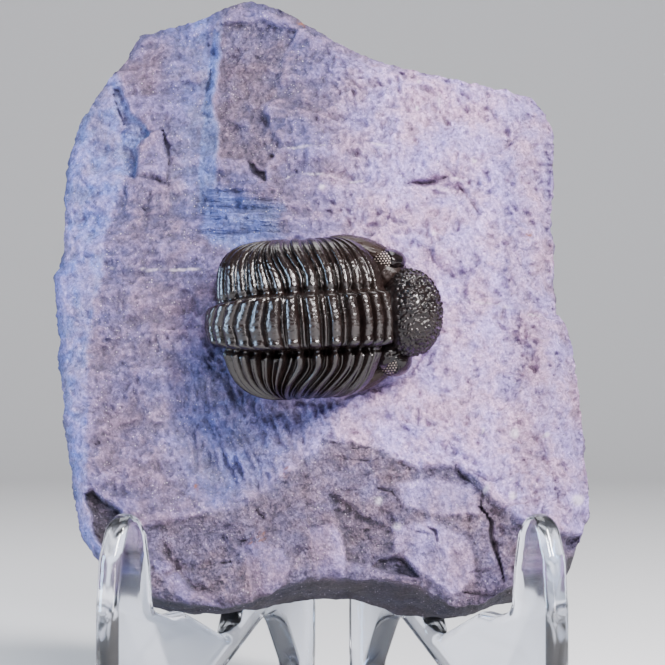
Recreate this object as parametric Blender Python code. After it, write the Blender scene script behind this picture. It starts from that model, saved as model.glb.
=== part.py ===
"""Arched trilobite on a limestone slab, leaning in a clear two-part easel.

World: metres, +Z up, the slab's face looks towards -Y, +X to the right.
"""

import math

import bmesh
import bpy
from mathutils import Vector, noise

mm = 0.001

# slab
leanAngle = 18.0 * math.pi / 180.0
slabThickness = 17.6
viewDistance = 600.0
faceHeight = 67.4
faceDepth = 27.9
gridStep = 0.175
gridCentre = (326.5, 332.5)
gridLean = math.cos(leanAngle)
faceColumns = 36
faceRows = 44

# trilobite
backRadius = 16.3
tipRadius = 5.0
tipShift = -1.5
upperHalf = 14.3
lowerHalf = 13.2
upperPower = 2.9
lowerPower = 2.0
axisHalf = 4.7
neckAngle = 40.5
ringAngles = [44.5, 51.3, 58.0, 65.8, 75.5, 88.0, 101.0, 113.5, 125.5, 136.0, 146.5, 157.0, 168.0, 179.0]
pivotRise = 1.9
pivotHeight = 5.0
bodyRoll = 2.8 * math.pi / 180.0
restGap = 0.3

# easel
plateThickness = 4.5
plateFrontX = 38.3
plateBackX = 4.1
plateRun = 57.0
easelCentreX = 1.0
knuckleRadius = 2.6
knuckleY = 59.5
rimBevel = 0.9


def clearScene():
    for item in list(bpy.data.objects):
        bpy.data.objects.remove(item, do_unlink=True)


def makeMaterial(name, colour, roughness, metallic=0.0, transmission=0.0, ior=1.45):
    material = bpy.data.materials.new(name)
    material.use_nodes = True
    shader = material.node_tree.nodes["Principled BSDF"]
    shader.inputs["Base Color"].default_value = (*colour, 1.0)
    shader.inputs["Roughness"].default_value = roughness
    shader.inputs["Metallic"].default_value = metallic
    shader.inputs["Transmission Weight"].default_value = transmission
    shader.inputs["IOR"].default_value = ior
    return material


def finishObject(name, bm, material, smoothAngle):
    bmesh.ops.recalc_face_normals(bm, faces=bm.faces)
    for vert in bm.verts:
        vert.co *= mm
    mesh = bpy.data.meshes.new(name)
    bm.to_mesh(mesh)
    bm.free()
    mesh.materials.append(material)
    mesh.shade_smooth()
    mesh.set_sharp_from_angle(angle=math.radians(smoothAngle))
    item = bpy.data.objects.new(name, mesh)
    bpy.context.scene.collection.objects.link(item)
    return item


def joinShapes(target, cutters):
    for cutter in cutters:
        cutter.hide_render = True
        cutter.display_type = "WIRE"
        joint = target.modifiers.new("join", "BOOLEAN")
        joint.operation = "UNION"
        joint.solver = "EXACT"
        joint.object = cutter


def smoothStep(value, low, high):
    share = min(1.0, max(0.0, (value - low) / (high - low)))
    return share * share * (3.0 - 2.0 * share)


def resample(points, count):
    lengths = [0.0]
    for first, second in zip(points, points[1:]):
        lengths.append(lengths[-1] + math.dist(first, second))
    places = []
    index = 0
    for step in range(count + 1):
        reach = lengths[-1] * step / count
        while index < len(points) - 2 and lengths[index + 1] < reach:
            index += 1
        share = (reach - lengths[index]) / (lengths[index + 1] - lengths[index])
        first = points[index]
        second = points[index + 1]
        places.append(
            (
                first[0] + (second[0] - first[0]) * share,
                first[1] + (second[1] - first[1]) * share,
            )
        )
    return places


def lineDistance(place, points):
    nearest = 1e9
    for first, second in zip(points, points[1:]):
        runX = second[0] - first[0]
        runY = second[1] - first[1]
        share = (place[0] - first[0]) * runX + (place[1] - first[1]) * runY
        share = min(1.0, max(0.0, share / (runX * runX + runY * runY)))
        gapX = place[0] - first[0] - runX * share
        gapY = place[1] - first[1] - runY * share
        nearest = min(nearest, math.hypot(gapX, gapY))
    return nearest


def groove(place, points, width):
    return max(0.0, 1.0 - lineDistance(place, points) / width)


def patch(place, left, right, top, bottom, soft):
    across = smoothStep(place[0], left - soft, left) * smoothStep(-place[0], -right - soft, -right)
    down = smoothStep(place[1], top - soft, top) * smoothStep(-place[1], -bottom - soft, -bottom)
    return across * down


# The slab's outline and its relief are drawn on a grid of small squares: columns run to the
# right, rows run down the face, and gridStep is the side of one square in millimetres.
topEdge = [(140, 36), (169, 29), (203, 19), (229, 6), (244, 2), (265, 4), (293, 16), (322, 34)]
topEdge += [(356, 53), (394, 66), (433, 75), (466, 82), (505, 90), (532, 98)]
rightEdge = [(532, 98), (543, 114), (554, 135), (553, 157), (553, 191), (550, 229), (553, 254)]
rightEdge += [(551, 280), (556, 314), (566, 324), (573, 352), (577, 382), (582, 424), (584, 462)]
rightEdge += [(590, 503), (585, 526), (573, 551)]
bottomEdge = [(100, 555), (120, 575), (155, 597), (182, 602), (221, 608), (237, 606), (271, 594)]
bottomEdge += [(297, 579), (335, 576), (352, 579), (388, 579), (420, 584), (441, 598), (456, 607)]
bottomEdge += [(484, 603), (509, 587), (545, 575), (573, 551)]
leftEdge = [(140, 36), (127, 59), (108, 81), (82, 119), (70, 157), (66, 191), (64, 242), (64, 263)]
leftEdge += [(54, 275), (60, 322), (61, 365), (64, 407), (70, 449), (74, 488), (81, 530), (100, 555)]

footprintEdge = [(208, 328), (222, 282), (240, 264), (280, 248), (338, 238), (402, 252), (420, 272)]
footprintEdge += [(448, 316), (436, 358), (418, 378), (392, 392), (344, 408), (300, 410), (262, 398)]
footprintEdge += [(236, 380), (222, 356), (208, 328)]


def faceDrop(place):
    column, row = place
    drop = 0.0
    bevelWidth = 32.0 + 18.0 * patch(place, 0, 400, 205, 290, 40)
    edgeGap = lineDistance(place, leftEdge)
    drop += 5.6 * smoothStep(-edgeGap, -bevelWidth, 0.0)
    drop += 1.8 * smoothStep(-lineDistance(place, topEdge), -16.0, 0.0)
    rightGap = lineDistance(place, rightEdge)
    drop += 4.2 * smoothStep(-rightGap, -55.0, 0.0)
    drop += 1.9 * groove(place, [(212, 31), (204, 98), (200, 150), (199, 190)], 34)
    drop -= 0.9 * patch(place, 216, 270, 27, 150, 8)
    drop -= 1.3 * patch(place, 137, 166, 132, 180, 7)
    drop -= 0.9 * patch(place, 125, 170, 181, 211, 7)
    drop += 1.1 * groove(place, [(112, 91), (123, 129), (142, 143)], 12)
    drop += 0.9 * groove(place, [(252, 164), (252, 172)], 12)
    drop -= 1.1 * groove(place, [(409, 180), (444, 190), (458, 206), (455, 224)], 16)
    drop += 0.9 * groove(place, [(420, 172), (447, 180), (474, 200)], 12)
    drop -= 0.8 * groove(place, [(426, 249), (434, 259), (457, 270)], 14)
    drop += 0.7 * groove(place, [(516, 259), (527, 270), (519, 283)], 12)
    drop += 1.8 * patch(place, 503, 528, 336, 374, 18)
    drop += 1.0 * groove(place, [(528, 378), (545, 388), (559, 352)], 12)
    hollow = patch(place, 188, 292, 352, 488, 26)
    hollow *= 1.0 - smoothStep(column - 0.8 * (480.0 - row), 180.0, 250.0)
    drop += 5.2 * hollow
    lowerLine = [(60, 520), (146, 525), (239, 514), (271, 486), (340, 440), (420, 470)]
    lowerLine += [(475, 500), (600, 520)]
    lineRow = 520.0
    for first, second in zip(lowerLine, lowerLine[1:]):
        if first[0] <= column <= second[0]:
            share = (column - first[0]) / (second[0] - first[0])
            lineRow = first[1] + (second[1] - first[1]) * share
    drop += 5.0 * smoothStep(row, lineRow, lineRow + 120.0)
    drop += 1.2 * smoothStep(row, lineRow - 4.0, lineRow + 10.0)
    drop += 1.4 * patch(place, 322, 384, 506, 556, 9)
    drop += 0.9 * groove(place, [(242, 548), (253, 579)], 14)
    drop += 1.1 * groove(place, [(386, 561), (420, 577)], 14)
    crack = [(456, 462), (475, 480), (484, 514), (491, 536), (502, 571)]
    drop += 0.9 * groove(place, crack, 11)
    drop += 3.2 * patch(place, 70, 118, 500, 560, 14)
    lump = Vector((column * 0.021, row * 0.021, 3.7))
    fine = Vector((column * 0.055, row * 0.055, 9.1))
    drop += 0.7 * noise.noise(lump) + 0.45 * noise.noise(fine)
    return drop


def seatShare(place):
    inside = False
    for first, second in zip(footprintEdge, footprintEdge[1:]):
        if (first[1] > place[1]) != (second[1] > place[1]):
            cross = first[0] + (second[0] - first[0]) * (place[1] - first[1]) / (
                second[1] - first[1]
            )
            if place[0] < cross:
                inside = not inside
    if inside:
        return 1.0
    return 1.0 - smoothStep(lineDistance(place, footprintEdge), 14.0, 34.0)


def faceRelief(place):
    height = -faceDrop(place)
    seat = seatShare(place)
    level = min(height, 0.0) if place[0] < 300 and place[1] > 345 else 0.0
    return height * (1.0 - seat) + level * seat


def onFace(place):
    across = (place[0] - gridCentre[0]) * gridStep
    up = (gridCentre[1] - place[1]) * gridStep / gridLean
    widen = 1.0 + up * math.sin(leanAngle) / viewDistance
    return across * widen, up * widen


def extrudeRing(bm, ring, places):
    edges = [bm.edges.get((ring[i - 1], ring[i])) for i in range(len(ring))]
    made = bmesh.ops.extrude_edge_only(bm, edges=edges)
    known = {vert: index for index, vert in enumerate(ring)}
    newRing = [None] * len(ring)
    for vert in [piece for piece in made["geom"] if isinstance(piece, bmesh.types.BMVert)]:
        for edge in vert.link_edges:
            other = edge.other_vert(vert)
            if other in known:
                newRing[known[other]] = vert
    for vert, place in zip(newRing, places):
        vert.co = place
    return newRing


def undersideBack(across):
    scoop = [(-47.0, -38.0), (-36.0, -44.0), (-24.0, -46.6), (-11.0, -45.4), (-2.0, -43.6)]
    scoop += [(4.0, -43.6), (10.0, -45.0), (13.0, -46.8), (18.0, -47.0), (24.0, -46.6)]
    scoop += [(36.0, -44.0), (46.0, -39.0)]
    for first, second in zip(scoop, scoop[1:]):
        if across <= second[0]:
            share = max(0.0, (across - first[0]) / (second[0] - first[0]))
            return first[1] + (second[1] - first[1]) * share
    return scoop[-1][1]


def buildSlab():
    top = resample(topEdge, faceColumns)
    bottom = resample(bottomEdge, faceColumns)
    left = resample(leftEdge, faceRows)
    right = resample(rightEdge, faceRows)
    bm = bmesh.new()
    bmesh.ops.create_grid(bm, x_segments=faceColumns, y_segments=faceRows, size=1.0)
    table = {}
    for vert in bm.verts:
        column = round((vert.co.x + 1.0) * 0.5 * faceColumns)
        row = round((1.0 - vert.co.y) * 0.5 * faceRows)
        s = column / faceColumns
        t = row / faceRows
        place = []
        for axis in (0, 1):
            ruled = (1 - t) * top[column][axis] + t * bottom[column][axis]
            ruled += (1 - s) * left[row][axis] + s * right[row][axis]
            corners = (1 - s) * (1 - t) * top[0][axis] + s * (1 - t) * top[-1][axis]
            corners += (1 - s) * t * bottom[0][axis] + s * t * bottom[-1][axis]
            place.append(ruled - corners)
        across, up = onFace(place)
        vert.co = (across, up, faceRelief(place))
        table[(column, row)] = vert
    ring = [table[(column, 0)] for column in range(faceColumns)]
    ring += [table[(faceColumns, row)] for row in range(faceRows)]
    ring += [table[(column, faceRows)] for column in range(faceColumns, 0, -1)]
    ring += [table[(0, row)] for row in range(faceRows, 0, -1)]
    lowest = 2 * faceColumns + faceRows
    walls = []
    for share, inset in ((0.34, -0.2), (0.68, 0.5), (1.0, 1.6)):
        places = []
        for index, vert in enumerate(ring):
            across, up, height = vert.co
            shrink = 1.0 - inset / 45.0
            isBottom = faceColumns + faceRows <= index <= lowest
            newUp = up * shrink
            if isBottom:
                newUp = up + (undersideBack(across) - up) * share
            level = height + (-slabThickness - height) * share
            rough = 0.7 * noise.noise(Vector((across * 0.21, up * 0.21, level * 0.3)))
            if share == 1.0:
                level = -slabThickness
            if isBottom:
                places.append((across * shrink, newUp + rough * (1.0 - share), level))
            else:
                places.append((across * shrink + rough, newUp, level))
        walls.append(places)
    current = ring
    for places in walls:
        current = extrudeRing(bm, current, places)
    bm.faces.new(current)
    stone = makeMaterial("limestone", (0.36, 0.31, 0.34), 0.85)
    item = finishObject("matrix_slab", bm, stone, 35.0)
    item.rotation_euler = (math.pi / 2.0 - leanAngle, 0.0, 0.0)
    item.location = (0.0, faceDepth * mm, faceHeight * mm)
    return item


# The trilobite's frame: x along its back towards the head, y across it, z out of it, with the
# centre of its arch at the origin. The slab's face lies below, sloping back.
def seatLevel(across, up):
    return -pivotHeight - (up + pivotRise - 1.5) * math.tan(leanAngle) + restGap


def rollPlace(x, y):
    turn = bodyRoll
    return x * math.cos(turn) - y * math.sin(turn), x * math.sin(turn) + y * math.cos(turn)


def bodyPoint(angle, side):
    # angle in degrees round the arch; side from -1 at the lower rib tips to 1 at the upper ones
    reach = upperHalf if side > 0.0 else lowerHalf
    power = upperPower if side > 0.0 else lowerPower
    share = abs(side)
    width = share * reach
    back = backRadius + 0.9 * smoothStep(angle, 130.0, 172.0)
    radius = tipRadius + (back - tipRadius) * (1.0 - share**power) ** (1.0 / power)
    tail = smoothStep(angle, 120.0, 180.0)
    half = axisHalf - 1.2 * tail
    borders = [(first + second) / 2.0 for first, second in zip(ringAngles, ringAngles[1:])]
    near = min(abs(angle - border) for border in borders)
    cut = max(0.0, 1.0 - near / 3.4) * (angle > neckAngle)
    if width < half:
        dome = math.sqrt(1.0 - (width / half) ** 2)
        radius += 1.6 * dome**0.75 - 1.2 * cut * (0.3 + 0.7 * dome)
    furrow = max(0.0, 1.0 - abs(width - half - 0.4) / 0.9)
    radius -= 0.9 * furrow
    if width >= half:
        fade = smoothStep(width, half, half + 1.0)
        radius -= 0.9 * cut * fade * (0.5 + 0.5 * (1.0 - share))
    radius -= 1.6 * (1.0 - smoothStep(angle, neckAngle - 1.5, neckAngle + 0.5))
    turn = math.radians(angle)
    shift = tipShift * smoothStep(side, 0.3, 1.0)
    return radius * math.cos(turn) + shift, side * reach, radius * math.sin(turn)


def addBlob(name, centre, radii, segments, rings):
    bm = bmesh.new()
    bmesh.ops.create_uvsphere(bm, u_segments=segments, v_segments=rings, radius=1.0)
    x, y = rollPlace(centre[0], centre[1])
    for vert in bm.verts:
        vert.co = (x + vert.co.x * radii[0], y + vert.co.y * radii[1], centre[2] + vert.co.z * radii[2])
        lowest = seatLevel(vert.co.x, vert.co.y) + 0.5
        vert.co.z = max(vert.co.z, lowest)
    return finishObject(name, bm, bpy.data.materials["fossil_black"], 60.0)


def buildTrilobite():
    makeMaterial("fossil_black", (0.020, 0.014, 0.012), 0.3)
    shares = [0.0, 0.10, 0.20, 0.29, 0.345, 0.40, 0.50, 0.62, 0.73, 0.83, 0.91, 0.965, 0.992, 1.0]
    offsets = [-share for share in reversed(shares[1:])] + shares
    angles = [-9.0, 4.0, 17.0, 28.0, 35.5, 39.2]
    borders = [neckAngle + 0.3]
    borders += [(first + second) / 2.0 for first, second in zip(ringAngles, ringAngles[1:])]
    for first, second in zip(borders, borders[1:]):
        angles += [first, first + 0.3 * (second - first), first + 0.7 * (second - first)]
    angles += [borders[-1], 178.5, 184.0, 188.0]
    steps = len(angles) - 1
    bm = bmesh.new()
    bmesh.ops.create_grid(bm, x_segments=steps, y_segments=len(offsets) - 1, size=1.0)
    table = {}
    for vert in bm.verts:
        step = round((vert.co.x + 1.0) * 0.5 * steps)
        line = round((vert.co.y + 1.0) * 0.5 * (len(offsets) - 1))
        place = bodyPoint(angles[step], offsets[line])
        x, y = rollPlace(place[0], place[1])
        height = max(place[2], seatLevel(x, y) + 0.5)
        vert.co = (x, y, height)
        table[(step, line)] = vert
    last = len(offsets) - 1
    ring = [table[(step, 0)] for step in range(steps)]
    ring += [table[(steps, line)] for line in range(last)]
    ring += [table[(step, last)] for step in range(steps, 0, -1)]
    ring += [table[(0, line)] for line in range(last, 0, -1)]
    places = []
    for vert in ring:
        x = vert.co.x * 0.94
        y = vert.co.y * 0.95
        places.append((x, y, seatLevel(x, y)))
    current = extrudeRing(bm, ring, places)
    bm.faces.new(current)
    fossil = bpy.data.materials["fossil_black"]
    body = finishObject("trilobite", bm, fossil, 50.0)
    blobs = [
        addBlob("glabella", (16.9, 0.75, 6.0), (5.0, 7.4, 7.6), 18, 11),
        addBlob("upper_eye", (13.3, 9.7, 4.4), (2.95, 2.2, 4.4), 12, 8),
        addBlob("upper_cheek", (12.7, 7.6, 3.2), (3.6, 3.6, 5.4), 12, 6),
        addBlob("lower_eye", (13.4, -7.3, 3.6), (3.1, 2.9, 4.2), 12, 8),
    ]
    joinShapes(body, blobs)
    for item in [body, *blobs]:
        item.rotation_euler = (math.pi / 2.0, 0.0, 0.0)
        pivotY = faceDepth - pivotHeight
        item.location = (-2.0 * mm, pivotY * mm, (faceHeight + pivotRise) * mm)
    return body


# One side frame of the easel, seen from its side: u runs from the front edge to the back edge,
# v up from the floor, and the third number is the radius that rounds the corner.
frameOutline = [
    (1.2, 0.0, 1.0),
    (0.0, 9.0, 12.0),
    (0.0, 21.0, 10.0),
    (1.6, 29.8, 6.0),
    (5.0, 36.0, 3.6),
    (9.8, 35.5, 3.4),
    (11.9, 28.5, 6.0),
    (12.9, 20.2, 2.8),
    (18.0, 19.0, 3.0),
    (22.5, 19.4, 3.0),
    (37.0, 13.7, 1.4),
    (60.4, 76.5, 2.6),
    (66.6, 76.5, 3.0),
    (66.0, 9.5, 7.0),
    (65.4, 0.0, 1.0),
    (59.2, 0.0, 1.0),
    (58.0, 7.4, 4.0),
    (51.5, 18.4, 5.0),
    (36.0, 8.7, 16.0),
    (21.5, 0.0, 3.0),
]


def roundOutline(corners, steps):
    places = []
    for index, (u, v, radius) in enumerate(corners):
        before = Vector(corners[index - 1][:2])
        here = Vector((u, v))
        after = Vector(corners[(index + 1) % len(corners)][:2])
        inward = (before - here).normalized()
        outward = (after - here).normalized()
        turn = math.pi - inward.angle(outward)
        reach = radius * math.tan(turn / 2.0)
        reach = min(reach, (before - here).length * 0.45, (after - here).length * 0.45)
        start = here + inward * reach
        end = here + outward * reach
        for step in range(steps + 1):
            t = step / steps
            places.append((1 - t) ** 2 * start + 2 * t * (1 - t) * here + t**2 * end)
    return places


def buildFrame(name, side):
    run = Vector((plateFrontX - plateBackX, plateRun)).length
    alongX = (plateFrontX - plateBackX) / run
    alongY = plateRun / run
    bm = bmesh.new()
    places = roundOutline(frameOutline, 3)
    verts = [bm.verts.new((place.x, place.y, -plateThickness / 2.0)) for place in places]
    base = bm.faces.new(verts)
    made = bmesh.ops.extrude_face_region(bm, geom=[base], use_keep_orig=True)
    moved = [piece for piece in made["geom"] if isinstance(piece, bmesh.types.BMVert)]
    bmesh.ops.translate(bm, verts=moved, vec=(0.0, 0.0, plateThickness))
    bmesh.ops.recalc_face_normals(bm, faces=bm.faces)
    rims = [edge for edge in bm.edges if abs(edge.calc_face_angle(0.0)) > math.radians(70)]
    bmesh.ops.bevel(
        bm,
        geom=rims,
        offset=rimBevel,
        offset_type="OFFSET",
        segments=2,
        profile=0.5,
        affect="EDGES",
        clamp_overlap=True,
    )
    for vert in bm.verts:
        u, v, w = vert.co
        x = -plateFrontX + u * alongX + w * alongY
        y = u * alongY - w * alongX
        vert.co = (side * -x, y, v)
    plastic = bpy.data.materials.get("clear_plastic")
    if plastic is None:
        plastic = makeMaterial("clear_plastic", (0.93, 0.95, 1.0), 0.05, 0.0, 1.0, 1.49)
    frame = finishObject(name, bm, plastic, 35.0)
    parts = []
    for index in (0, 1):
        low = 24.0 + 20.0 * index + (0.0 if side < 0 else 10.0)
        knuckle = bmesh.new()
        bmesh.ops.create_cone(
            knuckle,
            cap_ends=True,
            segments=20,
            radius1=knuckleRadius,
            radius2=knuckleRadius,
            depth=9.4,
        )
        bmesh.ops.translate(knuckle, verts=knuckle.verts, vec=(0.0, knuckleY, low + 4.7))
        parts.append(finishObject(f"{name}_knuckle_{index}", knuckle, plastic, 35.0))
        arm = bmesh.new()
        bmesh.ops.create_cube(arm, size=1.0)
        bmesh.ops.scale(arm, verts=arm.verts, vec=(5.6, 2.6, 8.2))
        bmesh.ops.translate(arm, verts=arm.verts, vec=(side * 3.0, knuckleY - 1.1, low + 4.7))
        parts.append(finishObject(f"{name}_arm_{index}", arm, plastic, 35.0))
    joinShapes(frame, parts)
    for item in [frame, *parts]:
        item.location.x = easelCentreX * mm
    return frame


def centreOnFloor(pieces):
    bpy.context.view_layer.update()
    graph = bpy.context.evaluated_depsgraph_get()
    corners = []
    for piece in pieces:
        solid = piece.evaluated_get(graph)
        for vert in solid.data.vertices:
            corners.append(solid.matrix_world @ vert.co)
    shift = Vector(
        (
            -0.5 * (min(c.x for c in corners) + max(c.x for c in corners)),
            -0.5 * (min(c.y for c in corners) + max(c.y for c in corners)),
            -min(c.z for c in corners),
        )
    )
    for item in bpy.data.objects:
        item.location += shift
    return shift


clearScene()
slab = buildSlab()
trilobite = buildTrilobite()
leftFrame = buildFrame("stand_left_frame", -1)
rightFrame = buildFrame("stand_right_frame", 1)
offset = centreOnFloor([slab, trilobite, leftFrame, rightFrame])
print("moved to the origin by", [round(value * 1000, 3) for value in offset])
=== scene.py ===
import math

import bmesh
import bpy
import numpy as np
from mathutils import Matrix, Vector, noise


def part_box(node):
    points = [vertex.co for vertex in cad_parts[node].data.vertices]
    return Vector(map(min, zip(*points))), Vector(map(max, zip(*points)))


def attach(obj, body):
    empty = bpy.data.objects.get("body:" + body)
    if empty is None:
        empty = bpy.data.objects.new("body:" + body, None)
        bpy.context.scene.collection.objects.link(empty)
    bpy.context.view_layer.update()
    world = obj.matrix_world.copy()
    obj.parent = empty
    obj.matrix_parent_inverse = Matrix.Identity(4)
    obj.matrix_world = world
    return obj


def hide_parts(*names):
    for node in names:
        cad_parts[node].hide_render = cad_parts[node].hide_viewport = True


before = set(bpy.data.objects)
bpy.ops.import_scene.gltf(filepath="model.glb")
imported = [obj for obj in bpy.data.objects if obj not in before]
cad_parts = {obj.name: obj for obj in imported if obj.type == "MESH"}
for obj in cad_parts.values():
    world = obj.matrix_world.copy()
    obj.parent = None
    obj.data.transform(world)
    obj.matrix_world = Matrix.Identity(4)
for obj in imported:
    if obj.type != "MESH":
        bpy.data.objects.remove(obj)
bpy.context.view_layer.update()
mm = 0.001

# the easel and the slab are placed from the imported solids, all in millimetres
layout = {
    "easelDepth": 62.1,
    "slabRight": -1.0,
    "slabBack": 27.9,
    "slabMiddle": 67.4,
}
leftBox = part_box("stand_left_frame")
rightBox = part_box("stand_right_frame")
easelX = (leftBox[0].x + rightBox[1].x) / 2 / mm
easelY = leftBox[1].y / mm - layout["easelDepth"]
slabX = easelX + layout["slabRight"]
slabY = easelY + layout["slabBack"]
slabZ = layout["slabMiddle"]
print("frame loaded, easel middle at", round(easelX, 2), round(easelY, 2))


def ease(value, low, high):
    share = np.clip((value - low) / (high - low), 0.0, 1.0)
    return share * share * (3.0 - 2.0 * share)


def bell(value, middle, width):
    return np.exp(-(((value - middle) / width) ** 2))


def cloudAt(place, octaves):
    return noise.fractal(Vector(place), 1.0, 2.0, octaves)


def setSocket(tree, socket, value):
    if isinstance(value, bpy.types.NodeSocket):
        tree.links.new(value, socket)
    elif isinstance(value, tuple) and socket.type == "RGBA":
        socket.default_value = (*value, 1.0)
    else:
        socket.default_value = value


def setInputs(tree, node, inputs):
    for label, value in inputs.items():
        setSocket(tree, node.inputs[label], value)


def addNode(tree, kind, inputs=None, **settings):
    node = tree.nodes.new(kind)
    for label, value in settings.items():
        setattr(node, label, value)
    setInputs(tree, node, inputs or {})
    return node


def mixColour(tree, factor, first, second, blend="MIX"):
    node = addNode(tree, "ShaderNodeMix", data_type="RGBA", blend_type=blend)
    for index, value in ((0, factor), (6, first), (7, second)):
        setSocket(tree, node.inputs[index], value)
    return node.outputs[2]


def mixGrey(tree, factor, levels):
    low, high = levels
    return mixColour(tree, factor, (low, low, low), (high, high, high))


def doMath(tree, operation, first, second):
    node = addNode(tree, "ShaderNodeMath", operation=operation)
    setSocket(tree, node.inputs[0], first)
    setSocket(tree, node.inputs[1], second)
    return node.outputs[0]


def times(tree, first, second):
    return doMath(tree, "MULTIPLY", first, second)


def plus(tree, first, second):
    return doMath(tree, "ADD", first, second)


def ramp(tree, value, low, high):
    inputs = {"Value": value, "From Min": low, "From Max": high}
    return addNode(tree, "ShaderNodeMapRange", inputs, interpolation_type="SMOOTHSTEP").outputs["Result"]


def splitColour(tree, colour):
    return addNode(tree, "ShaderNodeSeparateColor", {"Color": colour}).outputs


# shared effects: each group takes and gives plain numbers and reads the piece's own coordinates
def startGroup(name, inputs, outputs):
    group = bpy.data.node_groups.new(name, "ShaderNodeTree")
    for label, value in inputs.items():
        group.interface.new_socket(label, in_out="INPUT", socket_type="NodeSocketFloat").default_value = value
    for label in outputs:
        group.interface.new_socket(label, in_out="OUTPUT", socket_type="NodeSocketFloat")
    given = group.nodes.new("NodeGroupInput").outputs
    result = group.nodes.new("NodeGroupOutput").inputs
    return group, given, result, addNode(group, "ShaderNodeTexCoord").outputs["Object"]


def addClouds(group, place, scale, detail, roughness, distortion=0.0):
    inputs = {"Vector": place, "Scale": scale, "Detail": detail, "Roughness": roughness}
    inputs["Distortion"] = distortion
    return addNode(group, "ShaderNodeTexNoise", inputs).outputs["Fac"]


def makeCloudGroup():
    group, given, result, place = startGroup("cloudedTone", {"Scale": 60.0, "Detail": 5.0}, ["Tone"])
    cloud = addClouds(group, place, given["Scale"], given["Detail"], 0.6)
    setSocket(group, result["Tone"], ramp(group, cloud, 0.32, 0.68))
    return group


def makeSpeckGroup():
    group, given, result, place = startGroup("crystalSpecks", {"Scale": 900.0, "Cover": 0.3}, ["Specks"])
    cells = addNode(group, "ShaderNodeTexVoronoi", {"Vector": place, "Scale": given["Scale"]}, feature="F1")
    spots = ramp(group, cells.outputs["Distance"], given["Cover"], 0.05)
    keep = ramp(group, splitColour(group, cells.outputs["Color"])["Red"], 0.78, 1.0)
    setSocket(group, result["Specks"], times(group, spots, keep))
    return group


def makeGrainGroup():
    group, given, result, place = startGroup("stoneGrain", {"Coarse": 700.0, "Fine": 3200.0}, ["Height"])
    coarse = times(group, addClouds(group, place, given["Coarse"], 4.0, 0.65), 0.65)
    fine = times(group, addClouds(group, place, given["Fine"], 4.0, 0.65), 0.35)
    setSocket(group, result["Height"], plus(group, coarse, fine))
    return group


def makeMineralGroup():
    group, given, result, place = startGroup("mineralGrains", {"Scale": 2600.0}, ["Tone", "Dark"])
    cells = addNode(group, "ShaderNodeTexVoronoi", {"Vector": place, "Scale": given["Scale"]}, feature="F1")
    tint = splitColour(group, cells.outputs["Color"])
    setSocket(group, result["Tone"], tint["Red"])
    setSocket(group, result["Dark"], ramp(group, tint["Green"], 0.86, 0.92))
    return group


def makeStreakGroup():
    inputs = {"Scale": 900.0, "Turn": 0.5, "Stretch": 5.0}
    group, given, result, place = startGroup("fineStreaks", inputs, ["Streaks"])
    inputs = {"Vector": place, "Angle": given["Turn"]}
    turned = addNode(group, "ShaderNodeVectorRotate", inputs, rotation_type="Y_AXIS")
    inputs = {"X": 1.0, "Y": 1.0, "Z": doMath(group, "DIVIDE", 1.0, given["Stretch"])}
    along = addNode(group, "ShaderNodeCombineXYZ", inputs)
    drawn = addNode(group, "ShaderNodeVectorMath", operation="MULTIPLY")
    setSocket(group, drawn.inputs[0], turned.outputs["Vector"])
    setSocket(group, drawn.inputs[1], along.outputs["Vector"])
    lines = addClouds(group, drawn.outputs["Vector"], given["Scale"], 3.0, 0.6, 0.3)
    setSocket(group, result["Streaks"], ramp(group, lines, 0.40, 0.72))
    return group


cloudedTone = makeCloudGroup()
crystalSpecks = makeSpeckGroup()
stoneGrain = makeGrainGroup()
mineralGrains = makeMineralGroup()
fineStreaks = makeStreakGroup()


def useGroup(tree, group, output, **values):
    return addNode(tree, "ShaderNodeGroup", node_tree=group, inputs=values).outputs[output]


def startMaterial(name):
    material = bpy.data.materials.new(name)
    material.use_nodes = True
    tree = material.node_tree
    return material, tree, tree.nodes["Principled BSDF"]


def addBump(tree, shader, height, strength, distance):
    inputs = {"Strength": strength, "Distance": distance, "Height": height}
    bump = addNode(tree, "ShaderNodeBump", inputs)
    setInputs(tree, shader, {"Normal": bump.outputs["Normal"]})


def readMask(tree, name):
    mask = addNode(tree, "ShaderNodeAttribute", attribute_name=name)
    return splitColour(tree, mask.outputs["Color"]), mask.outputs["Alpha"]


def addToScene(name, data):
    item = bpy.data.objects.new(name, data)
    bpy.context.scene.collection.objects.link(item)
    return item


def finishMesh(name, bm, material, smoothAngle=None):
    mesh = bpy.data.meshes.new(name)
    bm.to_mesh(mesh)
    bm.free()
    mesh.materials.append(material)
    mesh.shade_smooth()
    if smoothAngle is not None:
        mesh.set_sharp_from_angle(angle=math.radians(smoothAngle))
    return addToScene(name, mesh)


def placePiece(name, bm, material, node, smoothAngle=None):
    bmesh.ops.recalc_face_normals(bm, faces=bm.faces)
    for vert in bm.verts:
        vert.co *= mm
    piece = finishMesh(name, bm, material, smoothAngle)
    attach(piece, "root")
    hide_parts(node)
    print(name, len(piece.data.polygons), "faces")
    return piece


def newVerts(made):
    return [item for item in made["geom"] if isinstance(item, bmesh.types.BMVert)]


def gridSheet(columns, rows, rowSign=1.0, layerNames=()):
    # a grid, its points by column and row, the points of its rim in order, and its colour layers
    bm = bmesh.new()
    layers = [bm.verts.layers.float_color.new(name) for name in layerNames]
    bmesh.ops.create_grid(bm, x_segments=columns, y_segments=rows, size=1.0)
    table = {}
    for vert in bm.verts:
        i = round((vert.co.x + 1.0) * 0.5 * columns)
        j = round((rowSign * vert.co.y + 1.0) * 0.5 * rows)
        table[(i, j)] = vert
    ring = [table[(i, 0)] for i in range(columns)]
    ring += [table[(columns, j)] for j in range(rows)]
    ring += [table[(i, rows)] for i in range(columns, 0, -1)]
    ring += [table[(0, j)] for j in range(rows, 0, -1)]
    return bm, table, ring, layers


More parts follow.
